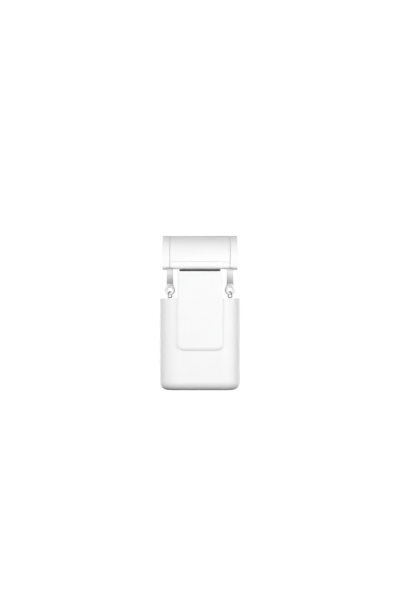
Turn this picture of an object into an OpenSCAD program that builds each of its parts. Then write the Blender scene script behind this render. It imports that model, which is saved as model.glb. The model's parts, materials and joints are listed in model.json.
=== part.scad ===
// Curtain robot: a battery drive unit that hangs from a curtain rod and rolls along it.
// The origin is on the rod's axis, midway along the clamp. X runs along the rod, the front faces -Y, Z is up.

/* [Rod and clamp] */
// Diameter of the rod that the hook takes
rod_d = 22; // [21:0.5:23]
// Radial gap between the rod and the arches of the end caps
guide_gap = 0.2; // [0.1:0.05:0.3]
// Radial gap between the rod and the rolling surfaces
roll_gap = 0.15; // [0.1:0.05:0.3]
// How far the hook lifts to let the rod in from behind
clamp_travel = 14; // [12:0.5:15]

/* [Case] */
// Width of the case
case_w = 75; // [74:0.5:84]
// Depth of the case
case_d = 47; // [46:0.5:54]
// Height of the case
case_h = 85.1; // [84:0.5:100]
// Height of the rod's axis above the rim of the case
case_drop = 33; // [32.5:0.5:36]
// Wall of the case
case_wall = 2.2; // [1.8:0.1:2.6]
// Thickness of the floor of the case
case_floor = 2.5; // [2:0.1:3]
// Radius of the upright corners of the case
case_corner_r = 17; // [13:0.5:18]
// Radius of the lower edge of the case
case_foot_r = 7.8; // [5:0.2:9]
// Radius of the bosses that take the cover screws
boss_r = 3.8; // [3.4:0.1:4.2]

/* [Top cover] */
// Thickness of the top cover
lid_t = 2; // [1.6:0.1:2.6]
// Depth of the top cover below the rim of the case
lid_inset = 1.2; // [0.6:0.1:1.6]
// Width of the turret that houses the drive wheel
turret_w = 40; // [39:0.5:41]
// Wall of the turret
turret_wall = 1.6; // [1.2:0.1:2]
// Height of the rod above the roof of the turret
turret_clear = 2.9; // [2:0.1:4]
// Radius of the upright corners of the turret
turret_corner_r = 4; // [2:0.5:6]
// Depth of the sunk heads of the cover screws
screw_sink = 1; // [0.6:0.1:1.2]

/* [Slide] */
// Width of the slide below the hook
slide_w = 38; // [35:0.5:38.5]
// Thickness of the slide
slide_t = 6.1; // [5.8:0.1:6.6]
// Depth of the slide's lower end below the rod's axis
slide_drop = 66; // [64:0.5:66]
// Width of the tongues along the slide
tongue_w = 1.2; // [0.8:0.1:1.4]
// Thickness of the tongues
tongue_t = 1.6; // [1.2:0.1:2]
// Running gap around the slide
slide_gap = 0.3; // [0.2:0.05:0.4]
// Wall of the channel that the slide runs in
channel_wall = 2; // [1.6:0.1:2.4]

/* [Clamp springs] */
// Distance of the springs from the middle
spring_x = 10; // [8:0.5:12]
// Outer diameter of the springs
spring_d = 4.6; // [4:0.1:4.8]
// Diameter of the spring wire
spring_wire_d = 0.6; // [0.5:0.05:0.8]
// Curls of each spring
spring_curls = 10; // [8:1:12]

/* [Front panel] */
// Width of the front panel
panel_w = 42; // [41:0.5:46]
// Height of the front panel
panel_h = 73.2; // [73:0.2:80]
// Thickness of the front panel
panel_t = 1.6; // [1.2:0.1:2.2]
// Width of the bevel along the panel's edges
panel_bevel = 2.2; // [1:0.1:3]
// Height of the bevel
panel_bevel_h = 0.6; // [0.3:0.1:1]
// Radius of the panel's lower corners
panel_corner_r = 5.6; // [4:0.2:8]
// Radius of the panel's upper corners
panel_top_r = 1.4; // [1:0.1:2]
// Gap between the front panel and the case
panel_gap = 0.3; // [0.2:0.05:0.5]
// Gap between the front panel and the hook
panel_seam = 1.6; // [1.2:0.1:2.2]

/* [Hook] */
// Width of the hook
hook_w = 69.6; // [68:0.2:74]
// Radial depth of the hook outside the rod
hook_ring = 10.4; // [10.2:0.1:12]
// Height of the centre of the hook's round top above the rod's axis
hook_rise = 4; // [3.9:0.1:5]
// Wall of the hook's cover and caps
hook_wall = 2; // [1.6:0.1:2.2]
// Wall of the hook's front skirt
skirt_t = 2.6; // [2.2:0.1:2.8]
// Depth of the front skirt below the rod's axis
front_drop = 6.1; // [5.6:0.1:6.6]
// Radius of the skirt's lower edge
skirt_r = 3.5; // [3:0.1:4]
// Height of the rear lip above the rod's axis
rear_lip = 0.5; // [0.3:0.1:1]
// Width of each end cap
cap_w = 6.9; // [6.5:0.1:7.5]
// Width of the seams beside the end caps
seam_gap = 0.3; // [0.2:0.05:0.5]
// Height of the crease across the front of the hook
crease_z = 1; // [0:0.1:2]
// Width of the crease
crease_w = 0.3; // [0.2:0.05:0.5]
// Depth of the crease
crease_d = 0.9; // [0.4:0.1:1]
// Width of the notch above each hanger
notch_w = 8; // [7.4:0.2:9]
// Height of the notch
notch_h = 1.6; // [1.4:0.1:2]
// Diameter of the heads of the cap screws
cap_head_d = 4; // [3.4:0.1:4.2]

/* [Idler rollers] */
// Radius of the idler rollers at the waist
idler_r = 4.3; // [4:0.1:4.6]
// Width of the idler rollers
idler_w = 11; // [9:0.5:12]
// Height of the rollers' rims above the waist
idler_rim = 1.3; // [0.8:0.1:1.4]
// Distance of the idler rollers from the middle
idler_x = 17; // [16.5:0.5:18]
// Diameter of the idler axles
idler_axle_d = 3; // [2.5:0.1:3.5]
// Length of the idler axles
idler_axle_len = 22; // [20:0.5:24]
// Extra radius of the rolling grooves over the rod
groove_gap = 0.25; // [0.15:0.05:0.5]

/* [Drive wheel] */
// Radius of the drive wheel at the waist
wheel_r = 15; // [14.5:0.1:15.4]
// Width of the tyre
tyre_w = 13; // [11:0.5:14]
// Height of the tyre's rims above the waist
tyre_rim = 1.9; // [1:0.1:2]
// Radius of the hub under the tyre
hub_r = 12; // [11:0.1:12.5]
// Width of the hub
hub_w = 14.4; // [14.2:0.1:15]
// Diameter of the wheel axle
axle_d = 4; // [3.5:0.1:4.4]
// Outer diameter of the axle's bearings
bearing_d = 7; // [6.4:0.1:8]

/* [Gears] */
// Module of the gears
gear_module = 0.8; // [0.76:0.01:0.82]
// Teeth of the gear on the wheel axle
wheel_teeth = 22; // [22:1:23]
// Teeth of the small gear of the compound gear
small_teeth = 14; // [14:1:15]
// Teeth of the large gear of the compound gear
large_teeth = 28; // [27:1:28]
// Teeth of the motor pinion
pinion_teeth = 14; // [13:1:15]
// Pressure angle of the gears
pressure_angle = 25; // [23:0.5:26]
// Play between meshing teeth
backlash = 0.15; // [0.12:0.01:0.2]
// Width of the wheel gear
gear_a_w = 2.8; // [2.4:0.1:3]
// Width of the large gear of the compound gear
gear_b_w = 2.4; // [2:0.1:2.6]
// Diameter of the compound gear's pin
pin_d = 3; // [2.5:0.1:3.5]

/* [Drive frame] */
// Thickness of the drive frame's plates and of the gear cover
plate_t = 1.6; // [1.4:0.1:1.8]
// Thickness of the flanges under the top cover
flange_t = 2.4; // [2:0.1:2.8]
// Gap beside the drive wheel
wheel_gap = 0.8; // [0.7:0.1:1]
// Gap beside the gears
gear_gap = 0.4; // [0.3:0.05:0.5]
// Diameter of the small screws' shanks
screw_d = 1.9; // [1.6:0.1:2]
// Diameter of the small screws' heads
screw_head_d = 3.8; // [3.4:0.1:4]
// Height of the small screws' heads
screw_head_h = 1.2; // [1:0.1:1.4]

/* [Motor] */
// Diameter of the motor and of its gearbox
motor_d = 23.6; // [22:0.1:24]
// Length of the motor can
can_len = 15.2; // [14:0.1:15.4]
// Length of the gearbox
gearbox_len = 7; // [6.5:0.1:7.2]
// Diameter of the output shaft
shaft_d = 3; // [2.5:0.1:3.4]

/* [Battery] */
// Diameter of a battery cell
cell_d = 18.2; // [18:0.1:18.6]
// Length of a battery cell
cell_len = 65; // [60:0.5:66]
// Distance of the cells behind the rod's axis
cell_y = 1.5; // [1:0.1:2]
// Gap between a cell and the side of the case
cell_side = 1; // [0.6:0.1:1.4]
// Wall of the battery cradle
cradle_wall = 1.2; // [1:0.1:1.4]
// Height of the cradle's sleeves
cradle_h = 44; // [40:1:48]

/* [Circuit board] */
// Width of the circuit board
board_w = 30; // [29:0.5:31]
// Thickness of the circuit board
board_t = 1.6; // [1.2:0.1:2]
// Distance of the board's front face behind the rod's axis
board_y = 13; // [12.8:0.1:13.4]
// Width of the charging port
port_w = 8.9; // [8.6:0.1:9.2]
// Thickness of the charging port
port_t = 3.2; // [3:0.1:3.4]
// Length of the charging port
port_len = 7.3; // [7:0.1:8]
// Distance of the button and of the light pipe from the middle
button_x = 12; // [10.5:0.5:13]
// Diameter of the button
button_d = 6.4; // [5:0.1:6.6]
// Travel of the button
button_travel = 0.8; // [0.5:0.1:0.9]
// Diameter of the light pipe
pipe_d = 2.5; // [2:0.1:3]

/* [Hangers] */
// Width of the hangers
hanger_w = 6; // [5.6:0.1:6.4]
// Thickness of the hangers
hanger_t = 2.2; // [1.8:0.1:2.4]
// Length of the hangers below their pins
hanger_len = 17; // [16:0.2:17]
// Diameter of the hanger pins
hanger_pin_d = 1.6; // [1.4:0.1:2]
// Radius of the eyelet rings, at the middle of the bar
eye_r = 3.6; // [3.3:0.1:3.8]
// Diameter of the eyelet rings' bar
eye_bar_d = 2.6; // [2.2:0.1:2.6]
// Diameter of the eyelets' stems
stem_d = 1.8; // [1.6:0.1:2]
// Turn of the left eyelet about its stem
left_eye_turn = -12; // [-60:1:60]
// Turn of the right eyelet about its stem
right_eye_turn = 12; // [-60:1:60]
// Turn of the wire links out of square to their eyelets
link_turn = 24; // [0:1:26]
// Diameter of the wire links' wire
wire_d = 1; // [0.8:0.1:1.1]
// Half width of the wire links at the foot
wire_foot_x = 2.9; // [2.6:0.1:3.2]

/* [Fits] */
// Radial clearance of a shaft that turns in a hole
run_fit = 0.05; // [0.03:0.01:0.08]
// Radial clearance of a pin, bush or screw that sits fast in a hole
seat_fit = 0.02; // [0.01:0.01:0.04]
// Gap between fixed pieces that fit into each other
trim_gap = 0.2; // [0.1:0.05:0.3]

/* [Hidden] */

$fn = 64;
eps = 0.01;
far = 200;
left = -1;
right = 1;
sides = [left, right];

white = "whitesmoke";
charcoal = "dimgray";
grey = "silver";
steel = "lightsteelblue";

// Rod, wheels and levels
rod_r = rod_d / 2;
guide_r = rod_r + guide_gap;
contact_r = rod_r + roll_gap;
groove_r = contact_r + groove_gap;
wheel_z = -(contact_r + wheel_r);
idler_z = contact_r + idler_r;
rim_z = -case_drop;
base_z = rim_z - case_h;
floor_z = base_z + case_floor;
lid_top = rim_z - lid_inset;
lid_bot = lid_top - lid_t;
front_y = -case_d / 2;
rear_in_y = case_d / 2 - case_wall;

// Hook
hook_r = rod_r + hook_ring;
hook_in_r = hook_r - hook_wall;
arch_r = hook_in_r - trim_gap;
arch_room = 0.8;
arch_foot = 3;
pocket_side = 0.8;
pocket_end = 0.5;
rib_t = 2;
hook_foot = -front_drop;
seam_x = hook_w / 2 - cap_w;
cover_x = seam_x - seam_gap / 2;
cap_x0 = seam_x + seam_gap / 2;
cap_x1 = hook_w / 2;
skirt_in_y = -(hook_r - skirt_t);
notch_r = (notch_w * notch_w / 4 + notch_h * notch_h) / (2 * notch_h);
notch_z = hook_foot + notch_h - notch_r;
cap_screw_out = 3;
cap_screw_rho = guide_r + hook_wall + cap_screw_out;
cap_screw_angle = 50;
cap_screw_y = cap_screw_rho * cos(cap_screw_angle);
cap_screw_z = cap_screw_rho * sin(cap_screw_angle);
cap_boss_wall = 0.6;
cap_boss_r = cap_head_d / 2 + cap_boss_wall;
cap_head_depth = 1.5;
cap_head_sunk = 0.2;
cap_screw_len = 8;

// Slide, channel and panel
panel_back_y = front_y - panel_gap;
panel_top = hook_foot - panel_seam;
panel_bot = panel_top - panel_h;
slide_back_y = panel_back_y + slide_t;
tongue_inset = 0.9;
tongue_y1 = slide_back_y - tongue_inset;
tongue_y0 = tongue_y1 - tongue_t;
channel_back_y = slide_back_y + slide_gap;
channel_in_y = channel_back_y + channel_wall;
slide_end_gap = 0.5;
channel_bot = -slide_drop - slide_end_gap;
channel_x = slide_w / 2 + slide_gap;
groove_x = channel_x + tongue_w;
block_x = groove_x + channel_wall;
riser_y0 = skirt_in_y + trim_gap;
riser_room = 1;
riser_y1 = -(guide_r + arch_room + riser_room);
step_inset = 0.6;
step_h = 6;
step_top = panel_top - step_inset;
step_bot = step_top - step_h;

// Clamp springs
ledge_h = 2.5;
stop_inset = 3;
stop_h = 2;
stop_side = 0.4;
stop_front = 0.9;
window_room = 0.5;
window_over = 0.8;
ledge_z = -slide_drop + ledge_h;
stop_top = rim_z - stop_inset;
stop_bot = stop_top - stop_h;
window_w = spring_d + 2 * window_room;
window_top = stop_top + window_over;
spring_y = (panel_back_y + slide_back_y) / 2;
spring_len = stop_bot - ledge_z;

// Drive
cheek_y0 = hub_w / 2 + wheel_gap;
cheek_y1 = cheek_y0 + plate_t;
gear_a_y0 = cheek_y1 + gear_gap;
gear_a_y1 = gear_a_y0 + gear_a_w;
gear_b_y0 = gear_a_y1 + gear_gap;
gear_b_y1 = gear_b_y0 + gear_b_w;
gear_cover_y0 = gear_b_y1 + gear_gap;
gear_cover_y1 = gear_cover_y0 + plate_t;
compound_z = wheel_z - gear_module * (wheel_teeth + small_teeth) / 2;
pinion_z = compound_z - gear_module * (large_teeth + pinion_teeth) / 2;
bearing_lip = 0.6;
bearing_lip_r = 0.9;
axle_stub = 0.4;
hub_rim_t = 2.5;
hub_core_wall = 3;
hub_core_r = axle_d / 2 + hub_core_wall;
hub_web = 4;
addendum = 0.9;
dedendum = 1.15;
flank_steps = 4;
large_tip_r = gear_module * (large_teeth / 2 + addendum);
pinion_tip_r = gear_module * (pinion_teeth / 2 + addendum);
post_r = 2.2;
post_room = 1.4;
post_drop = 2.5;
post_inset_x = 2.3;
post_inset_z = 2.6;
post_top_x = large_tip_r + post_r + post_room;
post_top_z = compound_z - post_drop;
post_low_x = motor_d / 2 - post_inset_x;
post_low_z = pinion_z - motor_d / 2 + post_inset_z;
cover_over = 1.3;
shaft_wall = 2;
shaft_depth = 3;
shaft_end_gap = 0.2;
collar_wall = 1.5;
pinion_over = 0.2;
motor_boss_r = shaft_d / 2 + shaft_wall;
motor_screw_inset = 3.8;
motor_screw_x = motor_d / 2 - motor_screw_inset;
motor_plate_over = 0.5;
motor_thread = 4;
motor_tip_room = 0.5;
can_nose_r = 4;
can_nose = 0.5;
can_y1 = cheek_y0 - gearbox_len;
can_y0 = can_y1 - can_len - can_nose;

// Turret and drive frame
turret_top = -(rod_r + turret_clear);
stub_gap = 0.7;
cheek_side = axle_stub + stub_gap;
turret_y0 = -(cheek_y1 + cheek_side + turret_wall);
turret_y1 = gear_cover_y1 + gear_gap + turret_wall;
roof_z = turret_top - turret_wall;
slot_x = sqrt(pow(wheel_r + tyre_rim, 2) - pow(roof_z - wheel_z, 2)) + wheel_gap;
slot_side = 0.5;
slot_y = hub_w / 2 + slot_side;
turret_in_r = turret_corner_r - turret_wall;
turret_edge = max(0, turret_in_r - cheek_side);
corner_bite = turret_in_r - sqrt(turret_in_r * turret_in_r - turret_edge * turret_edge);
cheek_x = turret_w / 2 - turret_wall - trim_gap - corner_bite;
cheek_top_wall = 3;
cheek_foot_h = 2;
cheek_top_r = bearing_d / 2 + cheek_top_wall;
flange_bot = lid_bot - flange_t;
flange_room = 1.4;
flange_reach = 8.8;
flange_screw_out = 5.2;
flange_x0 = sqrt(pow(wheel_r + tyre_rim, 2) - pow(lid_bot - wheel_z, 2)) + flange_room;
flange_x1 = cheek_x + flange_reach;
flange_screw_x = cheek_x + flange_screw_out;
flange_thread_end = 0.2;

// Cover screws
boss_turn = 55;
boss_bite = 0.6;
boss_reach = case_corner_r - case_wall - boss_r + boss_bite;
boss_x = case_w / 2 - case_corner_r + boss_reach * cos(boss_turn);
boss_y = case_d / 2 - case_corner_r + boss_reach * sin(boss_turn);
boss_h = 12;
boss_end = 3;
tip_room = 2;

// Battery
cell_r = cell_d / 2;
cell_x = case_w / 2 - case_wall - cell_r - cell_side;
foot_in_r = case_foot_r - case_wall;
cell_over = max(0, cell_x + cell_r - (case_w / 2 - case_wall - foot_in_r));
cell_base = 0.8;
cell_lift = foot_in_r - sqrt(foot_in_r * foot_in_r - cell_over * cell_over) + cell_base;
cell_bot = floor_z + cell_lift;
cell_top = cell_bot + cell_len;
nub_h = 1;
nub_r = 3;
tab_t = 0.4;
sleeve_open = 3;
web_inset = 4;
tab_w = 7;
tab_d = 10;

// Circuit board
board_under = 3.5;
board_lift = 2.6;
board_top = pinion_z - motor_d / 2 - board_under;
board_bot = floor_z + board_lift;
port_seat = 0.05;
port_slot = 0.25;
port_inset = 0.4;
port_wall = 0.3;
port_tongue_w = 6.6;
port_tongue_t = 0.7;
port_tongue_in = 0.6;
port_back = 1;
port_y = board_y - port_t / 2 - port_seat;
switch_w = 5.2;
switch_h = 3.2;
switch_t = 3.4;
switch_z = board_bot + 0.4;
plunger_r = 1;
plunger_out = 0.2;
plunger_bot = board_bot - plunger_out;
plunger_gap = 0.1;
peg_r = 1.2;
button_inset = 0.3;
pipe_inset = 0.1;
lamp_z = board_bot + 2.4;
lamp_w = 2;
lamp_h = 1.2;
button_lip = 1;
button_gap = 0.25;
// Chips on the front of the board: centre x, centre below the top edge, width, height, thickness
chips = [[-5, 9, 13, 12, 2.2], [8, 7, 6, 6, 1.1], [7, 17, 8, 8, 3], [-7, 21, 5, 4, 1], [0, 30, 4, 4, 0.9]];
rail_reach = 1.6;
rail_lip = 1.4;
rail_bot = board_bot + 8;
rail_top = board_top - 3;
foot_x0 = port_w / 2 + 0.8;
foot_x1 = button_x - button_d / 2 - button_lip - 2 * button_gap;

// Hangers
knuckle_r = 2.2;
knuckle_room = 0.5;
pivot_up = 3.7;
pivot_y = -(guide_r + hook_wall + knuckle_r + knuckle_room);
pivot_z = hook_foot + pivot_up;
pin_seat = 2.3;
pin_end = 0.8;
pin_end_gap = 0.1;
ear_gap = 0.6;
ear_t = 2.5;
ear_x1 = seam_x - hanger_w / 2 - ear_gap;
cap_room_x = 1;
cap_room_z = 3;
hanger_bot = pivot_z - hanger_len;
stem_wall = 0.9;
stem_front_wall = 1.5;
hanger_front = stem_d / 2 + stem_front_wall;
hanger_back = stem_d / 2 + stem_wall;
hanger_ramp = 2.8;
hanger_end_h = 6.2;
hanger_curve_r = 20;
hanger_floor = 2.4;
hanger_window_w = 3.4;
hanger_window_h = 2.6;
shoulder_r = 3.4;
shoulder_t = 1.1;
eye_gap = 0.3;
eye_sink = 0.5;
stem_head_gap = 0.2;
stem_head_h = 0.8;
stem_head_lip = 0.35;
eye_z = hanger_bot - eye_gap - eye_sink - eye_r - eye_bar_d / 2;
link_z = eye_z - eye_r;
link_r = eye_bar_d / 2 + eye_gap + wire_d / 2;
link_drop = 3.3;
link_corner_r = 0.8;

// A rounded rectangle
module plan(w, d, r) {
    square([w - 2 * r, d], center = true);
    square([w, d - 2 * r], center = true);
    for (x = sides) {
        for (y = sides) {
            translate([x * (w / 2 - r), y * (d / 2 - r)]) circle(r);
        }
    }
}

// A slot shape with round ends
module stadium(w, t) {
    square([w - t, t], center = true);
    for (x = sides) {
        translate([x * (w - t) / 2, 0]) circle(d = t);
    }
}

// A block between two corners
module block(x0, x1, y0, y1, z0, z1) {
    translate([x0, y0, z0]) cube([x1 - x0, y1 - y0, z1 - z0]);
}

// Round bars along the three axes
module bar_x(y, z, r, x0, x1) {
    translate([x0, y, z]) rotate([0, 90, 0]) cylinder(r = r, h = x1 - x0);
}

module bar_y(x, z, r, y0, y1) {
    translate([x, y0, z]) rotate([-90, 0, 0]) cylinder(r = r, h = y1 - y0);
}

module bar_z(x, y, r, z0, z1) {
    translate([x, y, z0]) cylinder(r = r, h = z1 - z0);
}

// A drawn profile carried along X (drawn in Y and Z) or along Y (drawn in X and Z)
module along_x(x0, x1) {
    rotate([90, 0, 90]) translate([0, 0, x0]) linear_extrude(x1 - x0) children();
}

module along_y(y0, y1) {
    rotate([90, 0, 0]) translate([0, 0, -y1]) linear_extrude(y1 - y0) children();
}

// One of a pair, drawn for the right side and mirrored for the left
module on_side(side) {
    mirror([side == left ? 1 : 0, 0, 0]) children();
}

// A tube along a path. Each point has a vector that sets where the tube's first side lies.
function unit(v) = v / norm(v);
function way(path, i, closed) =
    let (n = len(path))
    let (before = closed ? path[(i + n - 1) % n] : path[max(i - 1, 0)])
    let (after = closed ? path[(i + 1) % n] : path[min(i + 1, n - 1)])
    unit(after - before);
function ring(centre, ahead, aside, r, count) =
    let (u = unit(aside - (aside * ahead) * ahead))
    let (v = cross(ahead, u))
    [for (k = [0 : count - 1]) centre + r * (cos(360 * k / count) * u + sin(360 * k / count) * v)];

module tube(path, asides, r, count, closed) {
    n = len(path);
    last = closed ? n - 1 : n - 2;
    points = [for (i = [0 : n - 1]) each ring(path[i], way(path, i, closed), asides[i], r, count)];
    walls = [
        for (i = [0 : last])
            for (k = [0 : count - 1])
                let (a = i * count + k)
                let (b = i * count + (k + 1) % count)
                let (c = ((i + 1) % n) * count + (k + 1) % count)
                let (d = ((i + 1) % n) * count + k)
                each [[a, d, c], [a, c, b]]
    ];
    starts = [for (k = [1 : count - 2]) [0, k, k + 1]];
    ends = [for (k = [1 : count - 2]) [(n - 1) * count, (n - 1) * count + k + 1, (n - 1) * count + k]];
    polyhedron(points, closed ? walls : concat(walls, starts, ends));
}

// An involute gear outline with tooth 0 at the given angle
function involute(a) = tan(a) * 180 / PI - a;
function tooth_half(teeth, rho) =
    let (pitch_r = gear_module * teeth / 2)
    let (base_r = pitch_r * cos(pressure_angle))
    let (at_pitch = 90 / teeth - backlash / 2 / pitch_r * 180 / PI)
    at_pitch + involute(pressure_angle) - involute(acos(min(1, base_r / rho)));
function tooth(teeth) =
    let (pitch_r = gear_module * teeth / 2)
    let (root_r = pitch_r - dedendum * gear_module)
    let (tip_r = pitch_r + addendum * gear_module)
    let (start_r = max(root_r + 0.05, pitch_r * cos(pressure_angle)))
    let (rhos = [for (i = [0 : flank_steps]) start_r + (tip_r - start_r) * i / flank_steps])
    concat(
        [[root_r, -tooth_half(teeth, start_r)]],
        [for (rho = rhos) [rho, -tooth_half(teeth, rho)]],
        [for (i = [flank_steps : -1 : 0]) [rhos[i], tooth_half(teeth, rhos[i])]],
        [[root_r, tooth_half(teeth, start_r)]]
    );

module gear_outline(teeth, turn) {
    polygon([
        for (i = [0 : teeth - 1])
            for (p = tooth(teeth))
                let (a = turn + 360 * i / teeth + p[1])
                p[0] * [cos(a), sin(a)]
    ]);
}

module gear(teeth, turn, x, z, y0, y1) {
    translate([x, 0, z]) along_y(y0, y1) gear_outline(teeth, turn);
}

// A roller with a waist that fits the rod, about the Y axis
module roller(r, rim, w, bore_r, z) {
    translate([0, 0, z]) rotate([-90, 0, 0]) rotate_extrude() difference() {
        translate([bore_r, -w / 2]) square([r + rim - bore_r, w]);
        translate([r + groove_r, 0]) circle(groove_r, $fn = 180);
    }
}

// The case's outer or inner form: upright corners and a rounded lower edge
module foot_profile(r, foot) {
    square([r - foot, foot]);
    intersection() {
        translate([r - foot, foot]) circle(foot);
        translate([r - foot, 0]) square([foot, foot]);
    }
}

module soft_cup(w, d, h, r, foot) {
    x = w / 2 - r;
    y = d / 2 - r;
    translate([0, 0, foot]) linear_extrude(h - foot) plan(w, d, r);
    block(-x, x, -y, y, 0, foot);
    for (turn = [0, 180]) {
        rotate(turn) {
            translate([x, y, 0]) rotate_extrude(angle = 90) foot_profile(r, foot);
            translate([-x, y, 0]) rotate(90) rotate_extrude(angle = 90) foot_profile(r, foot);
            translate([0, y, 0]) along_x(-x, x) foot_profile(r, foot);
            translate([x, 0, 0]) along_y(-y, y) foot_profile(r, foot);
        }
    }
}

module case_outside() {
    translate([0, 0, base_z]) soft_cup(case_w, case_d, case_h, case_corner_r, case_foot_r);
}

module case_inside() {
    translate([0, 0, floor_z])
        soft_cup(case_w - 2 * case_wall, case_d - 2 * case_wall, case_h, case_corner_r - case_wall, foot_in_r);
}

module cover_screw_places() {
    for (x = sides) {
        for (y = sides) {
            translate([x * boss_x, y * boss_y, 0]) children();
        }
    }
}

// Rails along the board's edges, on the rear wall, and feet under its lower edge
module board_rails() {
    rail_x0 = board_w / 2 - rail_reach;
    rail_x1 = board_w / 2 + rail_reach;
    for (side = sides) {
        on_side(side) {
            difference() {
                block(rail_x0, rail_x1, board_y - rail_lip, rear_in_y + eps, rail_bot, rail_top);
                block(
                    rail_x0 - eps, board_w / 2 + trim_gap,
                    board_y - trim_gap / 2, board_y + board_t + trim_gap / 2,
                    rail_bot - eps, rail_top + eps
                );
            }
            block(foot_x0, foot_x1, board_y, board_y + board_t, floor_z - eps, board_bot);
        }
    }
}

module spring_stops() {
    for (side = sides) {
        on_side(side) block(
            spring_x - window_w / 2 + stop_side, spring_x + window_w / 2 - stop_side,
            panel_back_y + stop_front, channel_back_y + eps, stop_bot, stop_top
        );
    }
}

module case_shell() {
    color(white) union() {
        difference() {
            union() {
                difference() {
                    case_outside();
                    case_inside();
                }
                intersection() {
                    case_outside();
                    block(-block_x, block_x, front_y, channel_in_y, channel_bot - channel_wall, rim_z);
                }
                intersection() {
                    case_outside();
                    cover_screw_places() bar_z(0, 0, boss_r, lid_bot - boss_h, lid_bot);
                }
                intersection() {
                    case_outside();
                    board_rails();
                }
            }
            block(-channel_x, channel_x, front_y - 1, channel_back_y, channel_bot, rim_z + 1);
            block(
                -groove_x - slide_gap, groove_x + slide_gap, tongue_y0 - slide_gap, tongue_y1 + slide_gap,
                channel_bot, rim_z + 1
            );
            cover_screw_places() {
                bar_z(0, 0, screw_d / 2 + seat_fit, lid_bot - boss_h + boss_end, lid_bot + 1);
                bar_z(0, 0, screw_head_d / 2 + trim_gap, lid_top - screw_sink, rim_z + 1);
            }
            bar_y(0, pinion_z, motor_d / 2 + trim_gap, can_y0 - trim_gap, cheek_y0);
            translate([0, port_y, base_z - 1]) linear_extrude(case_floor + 2)
                stadium(port_w + 2 * port_slot, port_t + 2 * port_slot);
            bar_z(-button_x, port_y, button_d / 2 + button_gap, base_z - 1, floor_z + 1);
            bar_z(button_x, port_y, pipe_d / 2 + seat_fit, base_z - 1, floor_z + 1);
        }
        spring_stops();
    }
}

module top_cover() {
    y_mid = (turret_y0 + turret_y1) / 2;
    y_len = turret_y1 - turret_y0;
    color(white) difference() {
        union() {
            translate([0, 0, lid_bot]) linear_extrude(lid_t) difference() {
                plan(
                    case_w - 2 * case_wall - 2 * trim_gap, case_d - 2 * case_wall - 2 * trim_gap,
                    case_corner_r - case_wall - trim_gap
                );
                translate([-block_x - trim_gap, -far])
                    square([2 * (block_x + trim_gap), far + channel_in_y + trim_gap]);
            }
            translate([0, y_mid, lid_bot]) linear_extrude(turret_top - lid_bot)
                plan(turret_w, y_len, turret_corner_r);
        }
        translate([0, y_mid, lid_bot - 1]) linear_extrude(roof_z - lid_bot + 1)
            plan(turret_w - 2 * turret_wall, y_len - 2 * turret_wall, turret_in_r);
        block(-slot_x, slot_x, -slot_y, slot_y, roof_z - 1, turret_top + 1);
        cover_screw_places() {
            bar_z(0, 0, screw_d / 2 + seat_fit, lid_bot - 1, lid_top + 1);
            bar_z(0, 0, screw_head_d / 2 + trim_gap, lid_top - screw_sink, lid_top + 1);
        }
        for (side = sides) {
            bar_z(side * flange_screw_x, 0, screw_d / 2 + seat_fit, lid_bot - 1, lid_top + 1);
        }
    }
}

// A pan-head screw pointing down, its head resting at the origin
module screw(length) {
    bar_z(0, 0, screw_head_d / 2, 0, screw_head_h);
    bar_z(0, 0, screw_d / 2, -length, eps);
}

module cover_screws() {
    color(steel) cover_screw_places() translate([0, 0, lid_top - screw_sink])
        screw(lid_t - screw_sink + boss_h - boss_end - tip_room);
}

module frame_screws() {
    color(steel) for (side = sides) {
        translate([side * flange_screw_x, 0, lid_top]) screw(lid_t + flange_t - flange_thread_end);
    }
}

// The bearing pedestal, drawn in X and Z
module pedestal() {
    polygon([
        [-cheek_x, flange_bot], [cheek_x, flange_bot], [cheek_x, lid_bot + cheek_foot_h],
        [cheek_top_r, wheel_z], [-cheek_top_r, wheel_z], [-cheek_x, lid_bot + cheek_foot_h]
    ]);
    translate([0, wheel_z]) circle(cheek_top_r);
}

module gear_screw_places() {
    for (side = sides) {
        translate([side * post_top_x, 0, post_top_z]) children();
        translate([side * post_low_x, 0, post_low_z]) children();
    }
}

module drive_frame() {
    color(charcoal) difference() {
        union() {
            along_y(-cheek_y1, -cheek_y0) pedestal();
            along_y(cheek_y0, cheek_y1) {
                pedestal();
                translate([-post_top_x - post_r, post_top_z - post_r])
                    square([2 * (post_top_x + post_r), lid_bot - post_top_z + post_r]);
                translate([-motor_d / 2 - motor_plate_over, post_low_z - post_r])
                    square([motor_d + 2 * motor_plate_over, post_top_z - post_low_z + post_r]);
            }
            for (side = sides) {
                on_side(side) block(flange_x0, flange_x1, -cheek_y1, cheek_y1, flange_bot, lid_bot);
            }
        }
        bar_y(0, wheel_z, bearing_d / 2 + seat_fit, -cheek_y1 - 1, cheek_y1 + 1);
        bar_y(0, compound_z, pin_d / 2 + seat_fit, cheek_y0 - 1, cheek_y1 + 1);
        bar_y(0, pinion_z, motor_boss_r + trim_gap, cheek_y0 - 1, cheek_y1 + 1);
        gear_screw_places() bar_y(0, 0, screw_d / 2 + seat_fit, cheek_y0 - 1, cheek_y1 + 1);
        for (side = sides) {
            bar_y(side * motor_screw_x, pinion_z, screw_d / 2 + seat_fit, cheek_y0 - 1, cheek_y1 + 1);
            bar_z(side * flange_screw_x, 0, screw_d / 2 + seat_fit, flange_bot - 1, lid_bot + 1);
        }
    }
}

// A flanged bush in one cheek of the drive frame; its flange faces the wheel
module bearing() {
    difference() {
        union() {
            bar_y(0, wheel_z, bearing_d / 2, cheek_y0 - eps, cheek_y1);
            bar_y(0, wheel_z, bearing_d / 2 + bearing_lip_r, cheek_y0 - bearing_lip, cheek_y0);
        }
        bar_y(0, wheel_z, axle_d / 2 + run_fit, 0, cheek_y1 + 1);
    }
}

module bearing_front() {
    color("tan") rotate(180) bearing();
}

module bearing_rear() {
    color("tan") bearing();
}

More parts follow.
